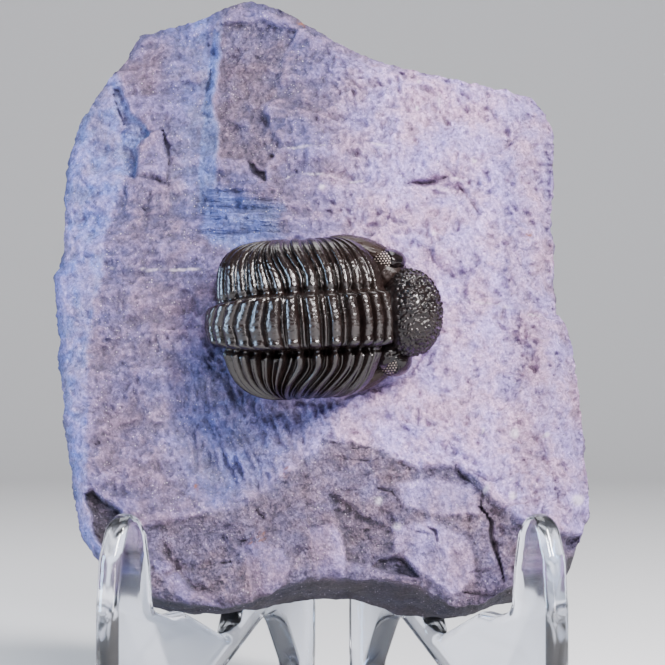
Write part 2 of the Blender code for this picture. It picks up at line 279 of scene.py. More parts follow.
def extrudeRing(bm, ring, places):
    edges = [bm.edges.get((ring[i - 1], ring[i])) for i in range(len(ring))]
    made = bmesh.ops.extrude_edge_only(bm, edges=edges)
    known = {vert: index for index, vert in enumerate(ring)}
    newRing = [None] * len(ring)
    for vert in newVerts(made):
        for edge in vert.link_edges:
            other = edge.other_vert(vert)
            if other in known:
                newRing[known[other]] = vert
    for vert, place in zip(newRing, places):
        vert.co = place
    return newRing


# the slab: outline and relief are drawn on a grid of 0.175 mm squares, columns to the right
# and rows downwards, as the upright face is seen from 0.6 m in front
slabShape = {
    "lean": math.radians(18.0),
    "thickness": 17.6,
    "gridStep": 0.175,
    "gridCentre": (326.5, 332.5),
    "viewDistance": 600.0,
    "columns": 248,
    "rows": 296,
    "wallSteps": 14,
    "wallSwell": 0.4,
    "wallInset": 1.9,
    "wallChips": (0.9, 0.7),
    "backSteps": 6,
    "backChips": 0.8,
    # how each edge rounds off: depth, where it starts and ends, share of the wander
    "edgeFalls": {
        "rightEdge": (1.5, 5.0, 12.0, 1.0), "topEdge": (1.6, 0.0, 12.0, 1.0),
        "bottomEdge": (0.9, 0.0, 10.0, 0.0), "leftEdge": (1.2, 0.0, 8.0, 0.0),
    },
    "topEdge": [
        (140, 36), (169, 29), (203, 19), (229, 6), (244, 2), (265, 4), (293, 16), (322, 34), (356, 53),
        (394, 66), (433, 75), (466, 82), (505, 90), (532, 98),
    ],
    "rightEdge": [
        (532, 98), (543, 114), (554, 135), (553, 157), (553, 191), (550, 229), (553, 254), (551, 280),
        (556, 314), (566, 324), (573, 352), (577, 382), (582, 424), (584, 462), (590, 503), (585, 526),
        (573, 551),
    ],
    "bottomEdge": [
        (100, 555), (120, 575), (155, 597), (182, 602), (221, 608), (237, 606), (271, 594), (297, 579),
        (335, 576), (352, 579), (388, 579), (420, 584), (441, 598), (456, 607), (484, 603), (509, 587),
        (545, 575), (573, 551),
    ],
    "leftEdge": [
        (140, 36), (127, 59), (108, 81), (82, 119), (70, 157), (66, 191), (64, 242), (64, 263), (54, 275),
        (60, 322), (61, 365), (64, 407), (70, 449), (74, 488), (81, 530), (100, 555),
    ],
    "undersideBack": [
        (-47.0, -38.0), (-36.0, -44.0), (-24.0, -46.6), (-11.0, -45.4), (-2.0, -43.6), (4.0, -43.6),
        (10.0, -45.0), (13.0, -46.8), (18.0, -47.0), (24.0, -46.6), (36.0, -44.0), (46.0, -39.0),
    ],
}


def resample(points, count):
    points = np.array(points, float)
    lengths = np.concatenate([[0.0], np.cumsum(np.hypot(*np.diff(points, axis=0).T))])
    reach = np.linspace(0.0, lengths[-1], count + 1)
    return np.stack([np.interp(reach, lengths, points[:, axis]) for axis in (0, 1)], axis=1)


def pathGap(column, row, points):
    # distance to a drawn line, and which side of it: right of travel is positive
    best = np.full(column.shape, 1e9)
    side = np.zeros(column.shape)
    for (startX, startY), (endX, endY) in zip(points, points[1:]):
        runX = endX - startX
        runY = endY - startY
        share = ((column - startX) * runX + (row - startY) * runY) / (runX**2 + runY**2)
        share = np.clip(share, 0.0, 1.0)
        gapX = column - startX - runX * share
        gapY = row - startY - runY * share
        gap = np.hypot(gapX, gapY)
        turn = runX * gapY - runY * gapX
        closer = gap < best
        best = np.where(closer, gap, best)
        side = np.where(closer, np.sign(turn), side)
    return best, side


def insideShape(column, row, points):
    inside = np.zeros(column.shape, bool)
    for (startX, startY), (endX, endY) in zip(points, points[1:] + points[:1]):
        if startY == endY:
            continue
        crosses = (startY > row) != (endY > row)
        where = startX + (endX - startX) * (row - startY) / (endY - startY)
        inside ^= crosses & (column < where)
    return inside


def shapeMask(column, row, points, soft):
    gap, _ = pathGap(column, row, points + points[:1])
    signed = np.where(insideShape(column, row, points), gap, -gap)
    return ease(signed, -soft, soft)


def groove(column, row, points, width, wander=0.0):
    # widest in the middle, pointed at both ends
    x = column + wander
    y = row + wander * 0.6
    gap, _ = pathGap(x, y, points)
    ends = [np.hypot(x - points[k][0], y - points[k][1]) for k in (0, -1)]
    reach = 0.5 * math.dist(points[0], points[-1])
    taper = 0.25 + 0.75 * ease(np.minimum(*ends), 0.0, reach)
    return np.clip(1.0 - gap / (width * taper), 0.0, 1.0) ** 1.3


def ledge(column, row, points, width, reach, wander=0.0):
    gap, side = pathGap(column + wander, row + wander * 0.6, points)
    low = gap * side
    return ease(low, -width * 0.3, width) * (1.0 - ease(gap, width, reach))


def noiseField(column, row, scaleX, scaleY, seed, octaves=3):
    flat = zip((column * scaleX).ravel(), (row * scaleY).ravel())
    values = [cloudAt((x, y, seed), octaves) for x, y in flat]
    return np.array(values).reshape(column.shape)


def terraces(field, steps, sharp):
    scaled = field * steps
    floor = np.floor(scaled)
    return (floor + ease(scaled - floor, 0.5 - sharp, 0.5 + sharp)) / steps


def grainField(column, row, scale, seed):
    # rounded grains with sharp valleys between them
    flat = zip((column * scale).ravel(), (row * scale).ravel())
    values = [noise.voronoi(Vector((x, y, seed)))[0][0] for x, y in flat]
    return 1.0 - np.array(values).reshape(column.shape)


def scarField(column, row, count, seed, sizes, depths):
    # shell-shaped scars cut into a plane, with sharp rims where they meet
    random = np.random.default_rng(seed)
    cut = np.zeros(column.shape)
    for _ in range(count):
        middleX = random.uniform(50.0, 600.0)
        middleY = random.uniform(0.0, 620.0)
        size = random.uniform(*sizes)
        depth = random.uniform(*depths)
        turn = random.uniform(0.0, math.pi)
        aspect = random.uniform(0.45, 1.0)
        slantX, slantY = random.normal(0.0, 0.35, 2)
        alongX = (column - middleX) * math.cos(turn) + (row - middleY) * math.sin(turn)
        alongY = (row - middleY) * math.cos(turn) - (column - middleX) * math.sin(turn)
        reach = (alongX / size) ** 2 + (alongY / (size * aspect)) ** 2
        tilt = 1.0 + (slantX * alongX + slantY * alongY) / size
        cut = np.minimum(cut, np.where(reach < 1.0, -depth * (1.0 - reach) * tilt, 0.0))
    return -cut


def softened(field, reach):
    # running mean over neighbouring grid points, along both directions
    for axis in (0, 1):
        padded = np.pad(field, [(reach + 1, reach) if k == axis else (0, 0) for k in (0, 1)], mode="edge")
        total = np.cumsum(padded, axis=axis)
        width = 2 * reach + 1
        high = np.take(total, np.arange(width, total.shape[axis]), axis=axis)
        low = np.take(total, np.arange(0, total.shape[axis] - width), axis=axis)
        field = (high - low) / width
    return field


# noise over the face: scale across and down, seed, octaves
stoneNoise = {
    "wander": (0.07, 0.07, 5.3, 4),
    "warpX": (0.035, 0.035, 15.0, 3),
    "warpY": (0.035, 0.035, 25.0, 3),
    "chips": (0.055, 0.055, 12.1, 5),
    "steps": (0.16, 0.12, 33.7, 3),
    "slant": (0.02, 0.02, 66.0, 2),
    "scratch": (0.014, 0.20, 27.0, 2),
    "swell": (0.012, 0.012, 2.0, 2),
}
# lines and patches drawn on the face, by column and row
stoneMarks = {
    # patches: softness of the rim, and how far it wanders across and down
    "rims": {
        "recess": (1.6, 0.6, 0.0), "firstFlake": (1.6, 0.4, 0.0), "secondFlake": (2.2, 1.0, 0.0),
        "roughTop": (3.0, 1.0, 0.0), "pit": (2.0, 1.0, 1.0), "blueFlat": (7.0, 3.0, 0.0),
        "scratched": (8.0, 2.0, 0.0), "scoop": (9.0, 0.0, 0.0), "hollow": (22.0, 0.0, 0.0),
        "hollowEdge": (12.0, 0.0, 0.0), "nick": (1.5, 0.0, 0.0), "lowerBand": (3.0, 1.5, 1.0),
        "darkFacet": (2.6, 1.0, 0.0), "notch": (2.0, 1.0, 0.0), "darkCorner": (2.2, 1.0, 0.0),
    },
    # patches: depth, or height where it is negative
    "depths": {
        "recess": 1.4, "firstFlake": -1.4, "secondFlake": -0.9, "pit": 2.0, "scoop": 1.9,
        "hollow": 3.3, "nick": 1.4, "darkFacet": 1.4, "notch": 2.4,
    },
    # patches: how far they darken the stone; at the hollow's lower edge the darkening is a painted shadow
    "darkness": {"darkCorner": 0.8, "darkFacet": 0.45, "notch": 0.8, "pit": 1.0, "hollowEdge": 0.12},
    # a flat patch painted blue as if lit by the blue lamp, partly the stone's own cool tint
    "blueFlat": [(203, 186), (214, 186), (250, 200), (278, 206), (282, 240), (236, 254), (204, 236)],
    "nick": [(204, 460), (210, 465), (206, 468)],
    "bevelLine": [
        (118, 70), (126, 84), (127, 104), (142, 122), (150, 134), (140, 146), (138, 178), (124, 182),
        (119, 206), (108, 240), (102, 290), (93, 330), (90, 400), (90, 460), (90, 490), (96, 530),
        (112, 556),
    ],
    "creaseLine": [
        (216, 0), (214, 31), (211, 60), (208, 84), (204, 100), (203, 124), (202, 150), (199, 180),
        (203, 226),
    ],
    "roughTop": [
        (220, 24), (262, 22), (296, 31), (284, 57), (282, 74), (275, 96), (266, 103), (263, 114),
        (273, 134), (282, 148), (272, 158), (264, 169), (249, 160), (222, 158), (218, 130),
    ],
    "recess": [
        (113, 89), (120, 89), (125, 103), (131, 114), (141, 122), (150, 133), (149, 138), (141, 141),
        (136, 148), (138, 158), (137, 172), (134, 179), (127, 177), (124, 165), (122, 146), (120, 134),
        (125, 126), (124, 117), (117, 103),
    ],
    "firstFlake": [
        (149, 136), (156, 132), (162, 132), (167, 145), (169, 158), (168, 172), (165, 182), (156, 179),
        (139, 178), (138, 158), (139, 148),
    ],
    "secondFlake": [
        (127, 182), (139, 179), (156, 181), (165, 185), (170, 191), (169, 206), (166, 214), (124, 216),
    ],
    "pit": [(247, 160), (253, 163), (258, 170), (265, 172), (266, 183), (259, 178), (250, 172)],
    "scoop": [(500, 338), (518, 328), (532, 344), (534, 372), (512, 382), (500, 366)],
    "hollow": [
        (214, 318), (206, 345), (180, 360), (176, 420), (192, 470), (228, 494), (262, 482), (288, 452),
        (322, 420), (330, 402), (262, 398), (232, 372),
    ],
    # a painted shadow: the stone below the fossil, at the hollow's lower right, is darkened as if in its
    # shadow
    "hollowEdge": [(262, 398), (330, 398), (346, 424), (322, 446), (296, 458), (270, 450)],
    # its first points, as many as bandTop says, are its upper rim
    "bandTop": 18,
    "lowerBand": [
        (146, 526), (167, 524), (191, 517), (206, 514), (229, 512), (238, 510), (250, 503), (260, 495),
        (272, 485), (289, 474), (301, 464), (328, 440), (372, 446), (420, 470), (452, 466), (474, 476),
        (492, 500), (530, 530), (640, 544), (640, 660), (60, 660), (110, 556),
    ],
    "paleFacets": [
        [
            (237, 547), (246, 557), (251, 581), (253, 600), (268, 596), (284, 583), (291, 568), (282, 550),
            (260, 543),
        ],
        [(309, 528), (313, 547), (319, 576), (344, 580), (346, 548), (334, 524)],
        [(153, 562), (163, 585), (184, 602), (224, 610), (215, 595), (187, 589), (180, 576), (170, 562)],
        [(392, 528), (430, 520), (470, 540), (476, 580), (452, 596), (424, 574), (398, 552)],
        [(396, 484), (436, 478), (474, 488), (478, 514), (444, 516), (404, 506)],
    ],
    "darkFacet": [
        (328, 494), (340, 498), (361, 514), (387, 526), (394, 540), (395, 552), (382, 561), (369, 566),
        (347, 561), (344, 540),
    ],
    "notch": [(370, 567), (382, 560), (397, 556), (406, 562), (420, 577), (392, 574)],
    "darkCorner": [
        (84, 494), (93, 490), (101, 499), (115, 507), (122, 516), (120, 528), (110, 540), (103, 548),
        (93, 534), (91, 519), (87, 507),
    ],
    "scratched": [(212, 184), (276, 188), (284, 214), (280, 240), (200, 240), (196, 200)],
    "footprint": [
        (214, 330), (228, 290), (248, 270), (282, 256), (340, 247), (400, 262), (418, 282), (440, 318),
        (426, 356), (410, 376), (388, 386), (344, 400), (300, 402), (264, 390), (240, 374), (226, 352),
    ],
    # cuts: path, half width, depth
    "cuts": [
        ([(113, 94), (118, 110), (123, 121), (123, 129)], 3.0, 1.9),
        ([(162, 130), (165, 142), (168, 155), (169, 166)], 3.6, 3.0),
        ([(168, 160), (167, 178), (170, 190)], 1.8, 1.2),
        ([(137, 178), (146, 178), (156, 179), (166, 184)], 2.0, 1.2),
        ([(151, 194), (148, 203)], 1.6, 1.0),
        ([(142, 208), (147, 212)], 1.6, 1.0),
        ([(212, 62), (209, 80), (205, 98)], 2.4, 1.3),
        ([(268, 157), (275, 156)], 2.4, 1.6),
        ([(345, 75), (352, 84), (360, 93)], 5.0, 0.8),
        ([(439, 112), (444, 122), (452, 131)], 5.0, 1.0),
        ([(408, 183), (430, 182), (449, 176)], 6.0, 1.3),
        ([(459, 186), (468, 198), (479, 214)], 5.0, 1.0),
        ([(516, 258), (519, 266), (524, 269), (529, 266)], 2.4, 1.2),
        ([(518, 251), (528, 250), (539, 247)], 2.0, 0.8),
        ([(553, 350), (560, 362), (552, 380)], 3.0, 1.0),
        ([(552, 484), (557, 495), (559, 508)], 2.2, 1.1),
        ([(330, 446), (346, 449), (374, 447)], 2.0, 1.0),
        ([(351, 459), (370, 461), (386, 457)], 2.0, 1.0),
        ([(364, 475), (372, 474)], 2.4, 0.9),
        ([(256, 508), (260, 514), (266, 520)], 2.8, 1.5),
        ([(240, 542), (250, 540)], 2.2, 1.2),
        ([(218, 563), (231, 561)], 2.4, 1.2),
        ([(378, 488), (392, 492), (398, 500)], 3.0, 1.1),
        ([(427, 527), (435, 531), (437, 541)], 3.0, 1.4),
        ([(408, 528), (420, 532), (432, 534)], 2.4, 0.8),
        ([(453, 461), (461, 476), (473, 484)], 3.2, 1.6),
        ([(470, 470), (486, 482), (503, 480)], 4.4, 1.6),
        ([(486, 486), (481, 500), (482, 510)], 3.2, 1.4),
        ([(479, 506), (486, 513), (491, 522), (491, 536), (495, 550), (500, 562), (504, 582)], 3.8, 3.0),
        ([(470, 572), (478, 571), (486, 574)], 2.0, 0.9),
        ([(460, 592), (475, 594), (500, 596)], 2.6, 1.0),
        ([(500, 512), (512, 506), (528, 504)], 3.0, 0.9),
        ([(92, 444), (100, 443)], 1.6, 0.8),
    ],
    # ledges: path, width, reach, depth; the low side lies to the right of travel
    "ledges": [
        ([(330, 120), (301, 110), (282, 100), (266, 104)], 2.2, 18.0, 0.6),
        ([(345, 181), (318, 174), (301, 174), (280, 181)], 1.6, 14.0, 0.5),
        ([(330, 148), (301, 150), (283, 150)], 1.6, 10.0, 0.3),
        ([(454, 222), (457, 208), (454, 200), (447, 190), (433, 187), (412, 187)], 2.0, 26.0, 1.0),
        ([(473, 192), (467, 184), (457, 179), (447, 175)], 2.0, 18.0, 0.8),
        ([(424, 247), (432, 250), (435, 261), (442, 268), (458, 270)], 1.7, 28.0, 1.1),
        ([(364, 183), (350, 183), (347, 190)], 1.4, 10.0, 0.4),
        ([(390, 148), (371, 146)], 1.4, 10.0, 0.4),
        ([(253, 600), (251, 581), (246, 557), (238, 546)], 2.0, 26.0, 1.3),
        ([(319, 578), (313, 547), (309, 526)], 1.8, 30.0, 1.3),
        ([(224, 610), (190, 590), (178, 574), (168, 560)], 2.0, 14.0, 0.7),
        ([(398, 552), (394, 540), (387, 526)], 2.0, 26.0, 1.0),
        ([(540, 400), (548, 420), (544, 446), (552, 470)], 2.5, 20.0, 0.7),
    ],
    # veins: path, width
    "veins": [
        ([(104, 268), (150, 271), (205, 269), (236, 270)], 1.0),
        ([(445, 298), (491, 306), (512, 310), (537, 316), (557, 318)], 1.0),
        ([(280, 181), (301, 174), (318, 174), (345, 181)], 1.1),
        ([(283, 150), (328, 148)], 0.9),
        ([(412, 187), (433, 187), (447, 190), (454, 200), (457, 208), (454, 220)], 1.2),
        ([(447, 175), (457, 179), (467, 184)], 1.0),
        ([(439, 91), (438, 108)], 1.0),
        ([(371, 146), (390, 148)], 1.4),
        ([(350, 183), (364, 182)], 1.2),
    ],
    # round spots: column, row, size
    "spots": [
        (322, 189, 3), (514, 434, 5), (483, 433, 2), (474, 162, 2), (418, 85, 2), (487, 492, 3),
        (512, 497, 4), (378, 500, 4), (398, 527, 4), (578, 500, 6), (545, 436, 3), (433, 235, 2),
        (417, 110, 2),
    ],
    "rust": [
        (299, 25, 4), (197, 487, 4), (258, 539, 5), (338, 61, 4), (163, 104, 1), (527, 236, 4),
        (288, 470, 4),
    ],
}


# how deep each kind of wear cuts into the face, in millimetres; wander, warp and row in grid squares
stoneRelief = {
    "wander": 2.6,
    "warp": 5.0,
    "crease": 2.3,
    "rightFall": 3.4,
    "strokes": 2.0,
    "fineStrokes": 0.9,
    "scratches": 1.5,
    "scars": 1.2,
    "sheets": 1.6,
    "chips": 0.30,
    "swell": 0.5,
    "stalkHeight": 6.65,
    "stalkSlope": 0.30875,
    "stalkRow": 324.0,
}


def highest(fields):
    return np.maximum.reduce(list(fields))


def slabRelief(column, row):
    # the face's height, its tones (broken, lilac, dark) and its marks (veins, rust, blue, scratched); lilac
    # holds painted highlights, dark holds painted shade, blue is mostly painted blue light
    marks = stoneMarks
    cuts = stoneRelief
    cloud = {name: noiseField(column, row, *values) for name, values in stoneNoise.items()}
    chips = cloud["chips"]
    wander = cuts["wander"] * cloud["wander"]
    warpX = column + cuts["warp"] * cloud["warpX"]
    warpY = row + cuts["warp"] * cloud["warpY"]
    ridges = 1.0 - np.abs(noiseField(warpX, warpY, 0.10, 0.10, 71.0, 4))
    sheets = terraces(noiseField(warpX, warpY, 0.012, 0.030, 44.0, 4), 7.0, 0.12)
    stepped = terraces(chips + 0.25 * cloud["steps"], 4.0, 0.16)
    grains = grainField(warpX * 0.8, warpY * 1.1, 0.21, 3.0)
    fineGrains = grainField(column, row, 0.42, 13.0)
    leaning = grainField(column + 0.5 * row, row * 0.45, 0.24, 23.0)
    lumps = grainField(warpX * 0.8, warpY, 0.055, 31.0)
    mask = {}
    for name, (soft, across, down) in marks["rims"].items():
        mask[name] = shapeMask(column + wander * across, row + wander * down, marks[name], soft)
    rough, band, corner = mask["roughTop"], mask["lowerBand"], mask["darkCorner"]
    drop = sum(depth * mask[name] for name, depth in marks["depths"].items())

    # the two long bevels, left and right, and the rounded edges
    gap, side = pathGap(column + wander * 1.6, row, marks["bevelLine"])
    outer = np.where(side > 0, gap, 0.0)
    leftBevel = ease(outer, 0.5, 6.0)
    drop += outer * outer / (outer + 2.0) * (0.10 + 0.075 * ease(row, 280.0, 340.0))
    edgeGap = {name: pathGap(column, row, slabShape[name])[0] for name in slabShape["edgeFalls"]}
    drop += cuts["rightFall"] * (1.0 - ease(edgeGap["rightEdge"], 0.0, 46.0)) ** 1.4
    for name, (depth, start, end, shake) in slabShape["edgeFalls"].items():
        drop += depth * (1.0 - ease(edgeGap[name] + shake * wander, start, end))

    # the upright crease: the left plane falls to it, a narrow facet climbs out on its right
    gap, side = pathGap(column + wander * 0.9, row, marks["creaseLine"])
    fade = ease(row, 0.0, 60.0) * (1.0 - ease(row, 196.0, 226.0))
    before = np.where(side > 0, gap, 0.0)
    after = np.where(side < 0, gap, 0.0)
    facetWidth = 6.0 + 8.0 * ease(row, 90.0, 140.0)
    facet = np.clip(after / facetWidth, 0.0, 1.0)
    leftFall = np.clip(1.0 - before / 95.0, 0.0, 1.0) * (after == 0.0)
    rightClimb = (1.0 - facet) * (before == 0.0)
    drop += fade * (cuts["crease"] * (leftFall + rightClimb) + np.clip(1.0 - after / 90.0, 0.0, 1.0) * facet)
    strip = fade * (1.0 - ease(after, facetWidth, facetWidth + 4.0)) * (1.0 - ease(before, 0.5, 3.0))

    # chipped ground at the top, and the pale lumpy rim at the right
    drop += rough * (0.9 + 0.9 * stepped - 0.75 * leaning - 0.25 * fineGrains)
    edgeRough = ease(column + wander * 3.0, 486.0, 526.0)
    drop += edgeRough * (0.5 * terraces(chips, 3.0, 0.2) - 0.9 * lumps - 0.18 * fineGrains)

    # slanting tool strokes in and around the hollow under the tail
    wide = shapeMask(column, row, marks["hollow"], 40.0)
    slant = column - 0.34 * (row - 330.0) + 5.0 * cloud["slant"]
    strokes = noiseField(slant, row, 0.13, 0.026, 8.8, 3)
    fineStrokes = noiseField(slant, row, 0.26, 0.05, 18.8, 3)
    drop += wide * (cuts["strokes"] * np.abs(strokes) + cuts["fineStrokes"] * fineStrokes)

    # lower band, broken and granular, falling towards the bottom edge, with paler flat facets
    bandGap, _ = pathGap(column, row, marks["lowerBand"][:marks["bandTop"]])
    drop += band * (0.7 + 0.036 * np.minimum(bandGap, 110.0))
    facets = marks["paleFacets"]
    pale = highest(shapeMask(column + wander, row + wander * 0.5, points, 3.0) for points in facets)
    broken = band * (1.0 - 0.7 * pale)
    pebbles = (0.6 * grains + 0.3 * fineGrains) * (0.7 + 0.8 * ease(chips, -0.2, 0.3))
    drop += broken * (0.9 * stepped - pebbles) - 0.9 * band * pale
    drop += corner * (1.8 + 0.8 * stepped - 0.8 * grains - 0.3 * fineGrains)

    drawn = [(groove(column, row, path, width, wander * 0.3), depth) for path, width, depth in marks["cuts"]]
    drop += sum(depth * cut for cut, depth in drawn)
    for path, width, reach, depth in marks["ledges"]:
        drop += depth * ledge(column, row, path, width, reach, wander * 0.5)

    # tool scratches across the middle and the worked skin of the whole face
    drop += mask["scratched"] * cuts["scratches"] * np.clip(cloud["scratch"], -0.25, 1.0)
    plain = 1.0 - np.clip(rough + band + corner, 0.0, 1.0)
    scars = scarField(warpX, warpY, 70, 4, (22.0, 60.0), (0.35, 1.0))
    smallScars = scarField(warpX, warpY, 320, 9, (6.0, 20.0), (0.15, 0.5))
    scarred = 0.35 + 0.65 * ease(column, 290.0, 390.0)
    drop += plain * (cuts["scars"] * scars * scarred + cuts["sheets"] * sheets)
    drop += plain * smallScars * (0.6 + 0.8 * scarred)
    drop += (1.0 - plain) * 0.9 * smallScars + cuts["chips"] * chips + cuts["swell"] * cloud["swell"]
    drop -= plain * (0.09 * fineGrains + 0.20 * grains * scarred + (0.6 + 0.9 * scarred) * ridges)

    # tones: painted shade darkens low places and cuts, a painted highlight turns crests and the left bevel
    # lilac, the right side is lilac in its own colour, and painted blue light, partly the stone's own cool
    # tint, falls on the flat facets, the facets facing left and the hollow
    sunk = drop - 0.5 * (softened(drop, 2) + softened(drop, 6))
    # painted highlight: places higher than their surroundings turn lighter lilac, as if lit
    crestHighlight = np.clip(-2.0 * sunk, 0.0, 0.5) * (0.3 + 0.7 * scarred)
    patches = ease(chips, -0.25, 0.2)
    toCrease = ease(column, 150.0, 200.0) * (1.0 - ease(column, 204.0, 216.0))
    toCrease *= 0.5 * (1.0 - ease(row, 180.0, 230.0))
    lilac = ease(column + 0.20 * (row - 300.0) + wander * 5.0, 250.0, 420.0) * (1.0 - 0.6 * band)
    # painted light: the left bevel turns lighter lilac, as if lit from the left
    lilac += leftBevel * (0.5 + 0.3 * ease(row, 150.0, 300.0)) + 0.1 * band * pale + crestHighlight
    # painted shade: the cuts and the places lower than their surroundings are darkened, as shade falls in
    # them
    dark = 0.8 * highest(cut * min(1.0, 0.3 * depth) for cut, depth in drawn)
    dark += np.clip(1.2 * sunk - 0.08, 0.0, 0.5)
    for name, share in marks["darkness"].items():
        dark += share * mask[name]
    # painted blue light, partly the stone's own cool tint: the facets facing left, the left bevel, the
    # crease's valley and the hollow are tinted blue as if lit by the blue lamp on the left
    blue = highest((
        strip, mask["recess"], 0.9 * mask["blueFlat"], 0.65 * wide, leftBevel * (0.6 + 0.35 * patches),
        toCrease * (0.6 + 0.4 * patches),
    ))
    broken = 0.55 * rough + broken + corner + 0.3 * edgeRough
    veins = highest(groove(column, row, path, width * 2.0, wander * 0.8) for path, width in marks["veins"])
    veins *= 0.15 + 0.85 * ease(fineGrains + chips, 0.3, 0.8)
    for spotX, spotY, size in marks["spots"]:
        gap = np.hypot(column - spotX + wander, row - spotY + wander * 0.7)
        veins = np.maximum(veins, 1.2 * (1.0 - ease(gap, size * 0.4, size * 1.3)))
    rust = np.zeros(column.shape)
    for spotX, spotY, size in marks["rust"]:
        gap = np.hypot(column - spotX + wander * 2.5, (row - spotY - wander * 2.0) * 0.7)
        rust = np.maximum(rust, (1.0 - ease(gap, size * 0.2, size * 1.6)) * ease(fineGrains, 0.35, 0.75))
    tones = (
        np.clip(broken, 0.0, 1.0), np.clip(lilac, 0.0, 1.3), np.clip(dark, 0.0, 1.0), np.zeros(column.shape),
    )
    lines = (veins, rust, np.clip(blue, 0.0, 1.0), mask["scratched"])
    return -drop, np.stack(tones, axis=-1), np.stack(lines, axis=-1)


def onFace(column, row, height):
    # where a point of this height on the leaning face lies when it is seen at this column and row
    shape = slabShape
    far = shape["viewDistance"]
    rise = math.cos(shape["lean"])
    tilt = math.sin(shape["lean"])
    level = np.minimum(height, 0.0)
    above = (shape["gridCentre"][1] - row) * shape["gridStep"]
    up = (above * (1.0 - level * rise / far) - level * tilt) / (rise - above * tilt / far)
    widen = 1.0 + (up * tilt - level * rise) / far
    return (column - shape["gridCentre"][0]) * shape["gridStep"] * widen, up


def leanPlace(across, up, height):
    lean = slabShape["lean"]
    y = slabY + up * math.sin(lean) - height * math.cos(lean)
    return Vector((slabX + across, y, slabZ + up * math.cos(lean) + height * math.sin(lean)))


def pedestal(column, row, height):
    # stone left standing under the fossil, well inside its rim
    footprint = stoneMarks["footprint"]
    mask = shapeMask(column, row, footprint, 3.0)
    gap, _ = pathGap(column, row, footprint + footprint[:1])
    core = ease(np.where(insideShape(column, row, footprint), gap, -gap), 13.0, 22.0)
    above = (stoneRelief["stalkRow"] - row) * slabShape["gridStep"]
    rise = stoneRelief["stalkHeight"] + stoneRelief["stalkSlope"] * above
    return height * (1.0 - mask) + mask * np.minimum(height, 0.0) * (1.0 - core) + core * rise


def faceGrid():
    # columns and rows of the face's points, spread between its four edges, which are ragged
    shape = slabShape
    columns = shape["columns"]
    rows = shape["rows"]
    top, bottom = (resample(shape[name], columns) for name in ("topEdge", "bottomEdge"))
    left, right = (resample(shape[name], rows) for name in ("leftEdge", "rightEdge"))
    s = np.linspace(0.0, 1.0, columns + 1)[None, :, None]
    t = np.linspace(0.0, 1.0, rows + 1)[:, None, None]
    face = (1 - t) * top[None] + t * bottom[None] + (1 - s) * left[:, None] + s * right[:, None]
    face -= (1 - s) * (1 - t) * top[0] + s * (1 - t) * top[-1]
    face -= (1 - s) * t * bottom[0] + s * t * bottom[-1]
    column = face[..., 0]
    row = face[..., 1]
    edge = np.minimum(np.minimum(s, 1 - s)[..., 0] * columns, np.minimum(t, 1 - t)[..., 0] * rows)
    ragged = 2.0 * (1.0 - ease(edge, 0.0, 10.0))
    column = column + ragged * noiseField(column, row, 0.11, 0.11, 91.0, 4)
    row = row + ragged * noiseField(column, row, 0.11, 0.11, 97.0, 4)
    return column, row


def makeSlab(material):
    shape = slabShape
    look = stoneLook
    columns = shape["columns"]
    rows = shape["rows"]
    column, row = faceGrid()
    height, tones, lines = slabRelief(column, row)
    height = pedestal(column, row, height)
    across, up = onFace(column, row, height)
    bm, table, ring, (tone, mark) = gridSheet(columns, rows, -1.0, ("stoneTone", "stoneMark"))
    for (i, j), vert in table.items():
        vert.co = (across[j, i], up[j, i], height[j, i])
        vert[tone] = tuple(tones[j, i])
        vert[mark] = tuple(lines[j, i])

    # the side walls, and the underside that is scooped back to its own line
    backX, backUp = zip(*shape["undersideBack"])
    chipsX, chipsY = shape["wallChips"]
    under = [columns + rows <= index <= 2 * columns + rows for index in range(len(ring))]
    start = [(vert.co.copy(), tuple(vert[tone]), tuple(vert[mark])) for vert in ring]
    current = ring
    for step in range(1, shape["wallSteps"] + 1):
        share = (step / shape["wallSteps"]) ** 0.9
        inset = shape["wallSwell"] * math.sin(share * math.pi) - shape["wallInset"] * share * share
        scale = 1.0 + inset / 48.0
        fade = math.sin(min(1.0, share * 4.0) * math.pi / 2.0)
        places = []
        for (point, _, _), isUnder in zip(start, under):
            level = point.z + (-shape["thickness"] - point.z) * share
            x, y, depth = point.x * 0.16, point.y * 0.16, level * 0.22
            chipY = chipsY * cloudAt((x, y, depth + 40), 4) * fade
            if isUnder:
                target = np.interp(point.x, backX, backUp)
                places.append((point.x * scale, point.y + (target - point.y) * share + chipY, level))
            else:
                chipX = chipsX * cloudAt((x, y, depth), 4) * fade
                places.append((point.x * scale + chipX, point.y * scale + chipY, level))
        current = extrudeRing(bm, current, places)
        for vert, (_, first, drawn), isUnder in zip(current, start, under):
            # painted shade: the underside's wall is darkened, as it faces down away from the light
            underShade = isUnder * min(1.0, share * 5.0)
            vert[tone] = (max(0.7, first[0]), first[1] * 0.6, first[2] * (1.0 - share), underShade)
            blue = look["backBlue"] + (drawn[2] - look["backBlue"]) * (1.0 - share)
            vert[mark] = (0.0, drawn[1] * max(0.0, 1.0 - 4.0 * share), blue, 0.0)

    # the nearly flat back, closed towards its middle
    rim = [vert.co.copy() for vert in current]
    for step in range(1, shape["backSteps"] + 1):
        share = step / (shape["backSteps"] + 0.35)
        places = []
        for point in rim:
            x = point.x * (1.0 - share)
            y = point.y * (1.0 - share) + 2.0 * share
            chip = shape["backChips"] * ease(share, 0.0, 0.2) * abs(cloudAt((x * 0.09, y * 0.09, 7.0), 5))
            places.append((x, y, chip - shape["thickness"]))
        current = extrudeRing(bm, current, places)
        for vert in current:
            vert[tone] = look["backTone"]
            vert[mark] = (0.0, 0.0, look["backBlue"], 0.0)
    bm.faces.new(current)
    for vert in bm.verts:
        vert.co = leanPlace(*vert.co)
    return placePiece("limestoneSlab", bm, material, "matrix_slab")


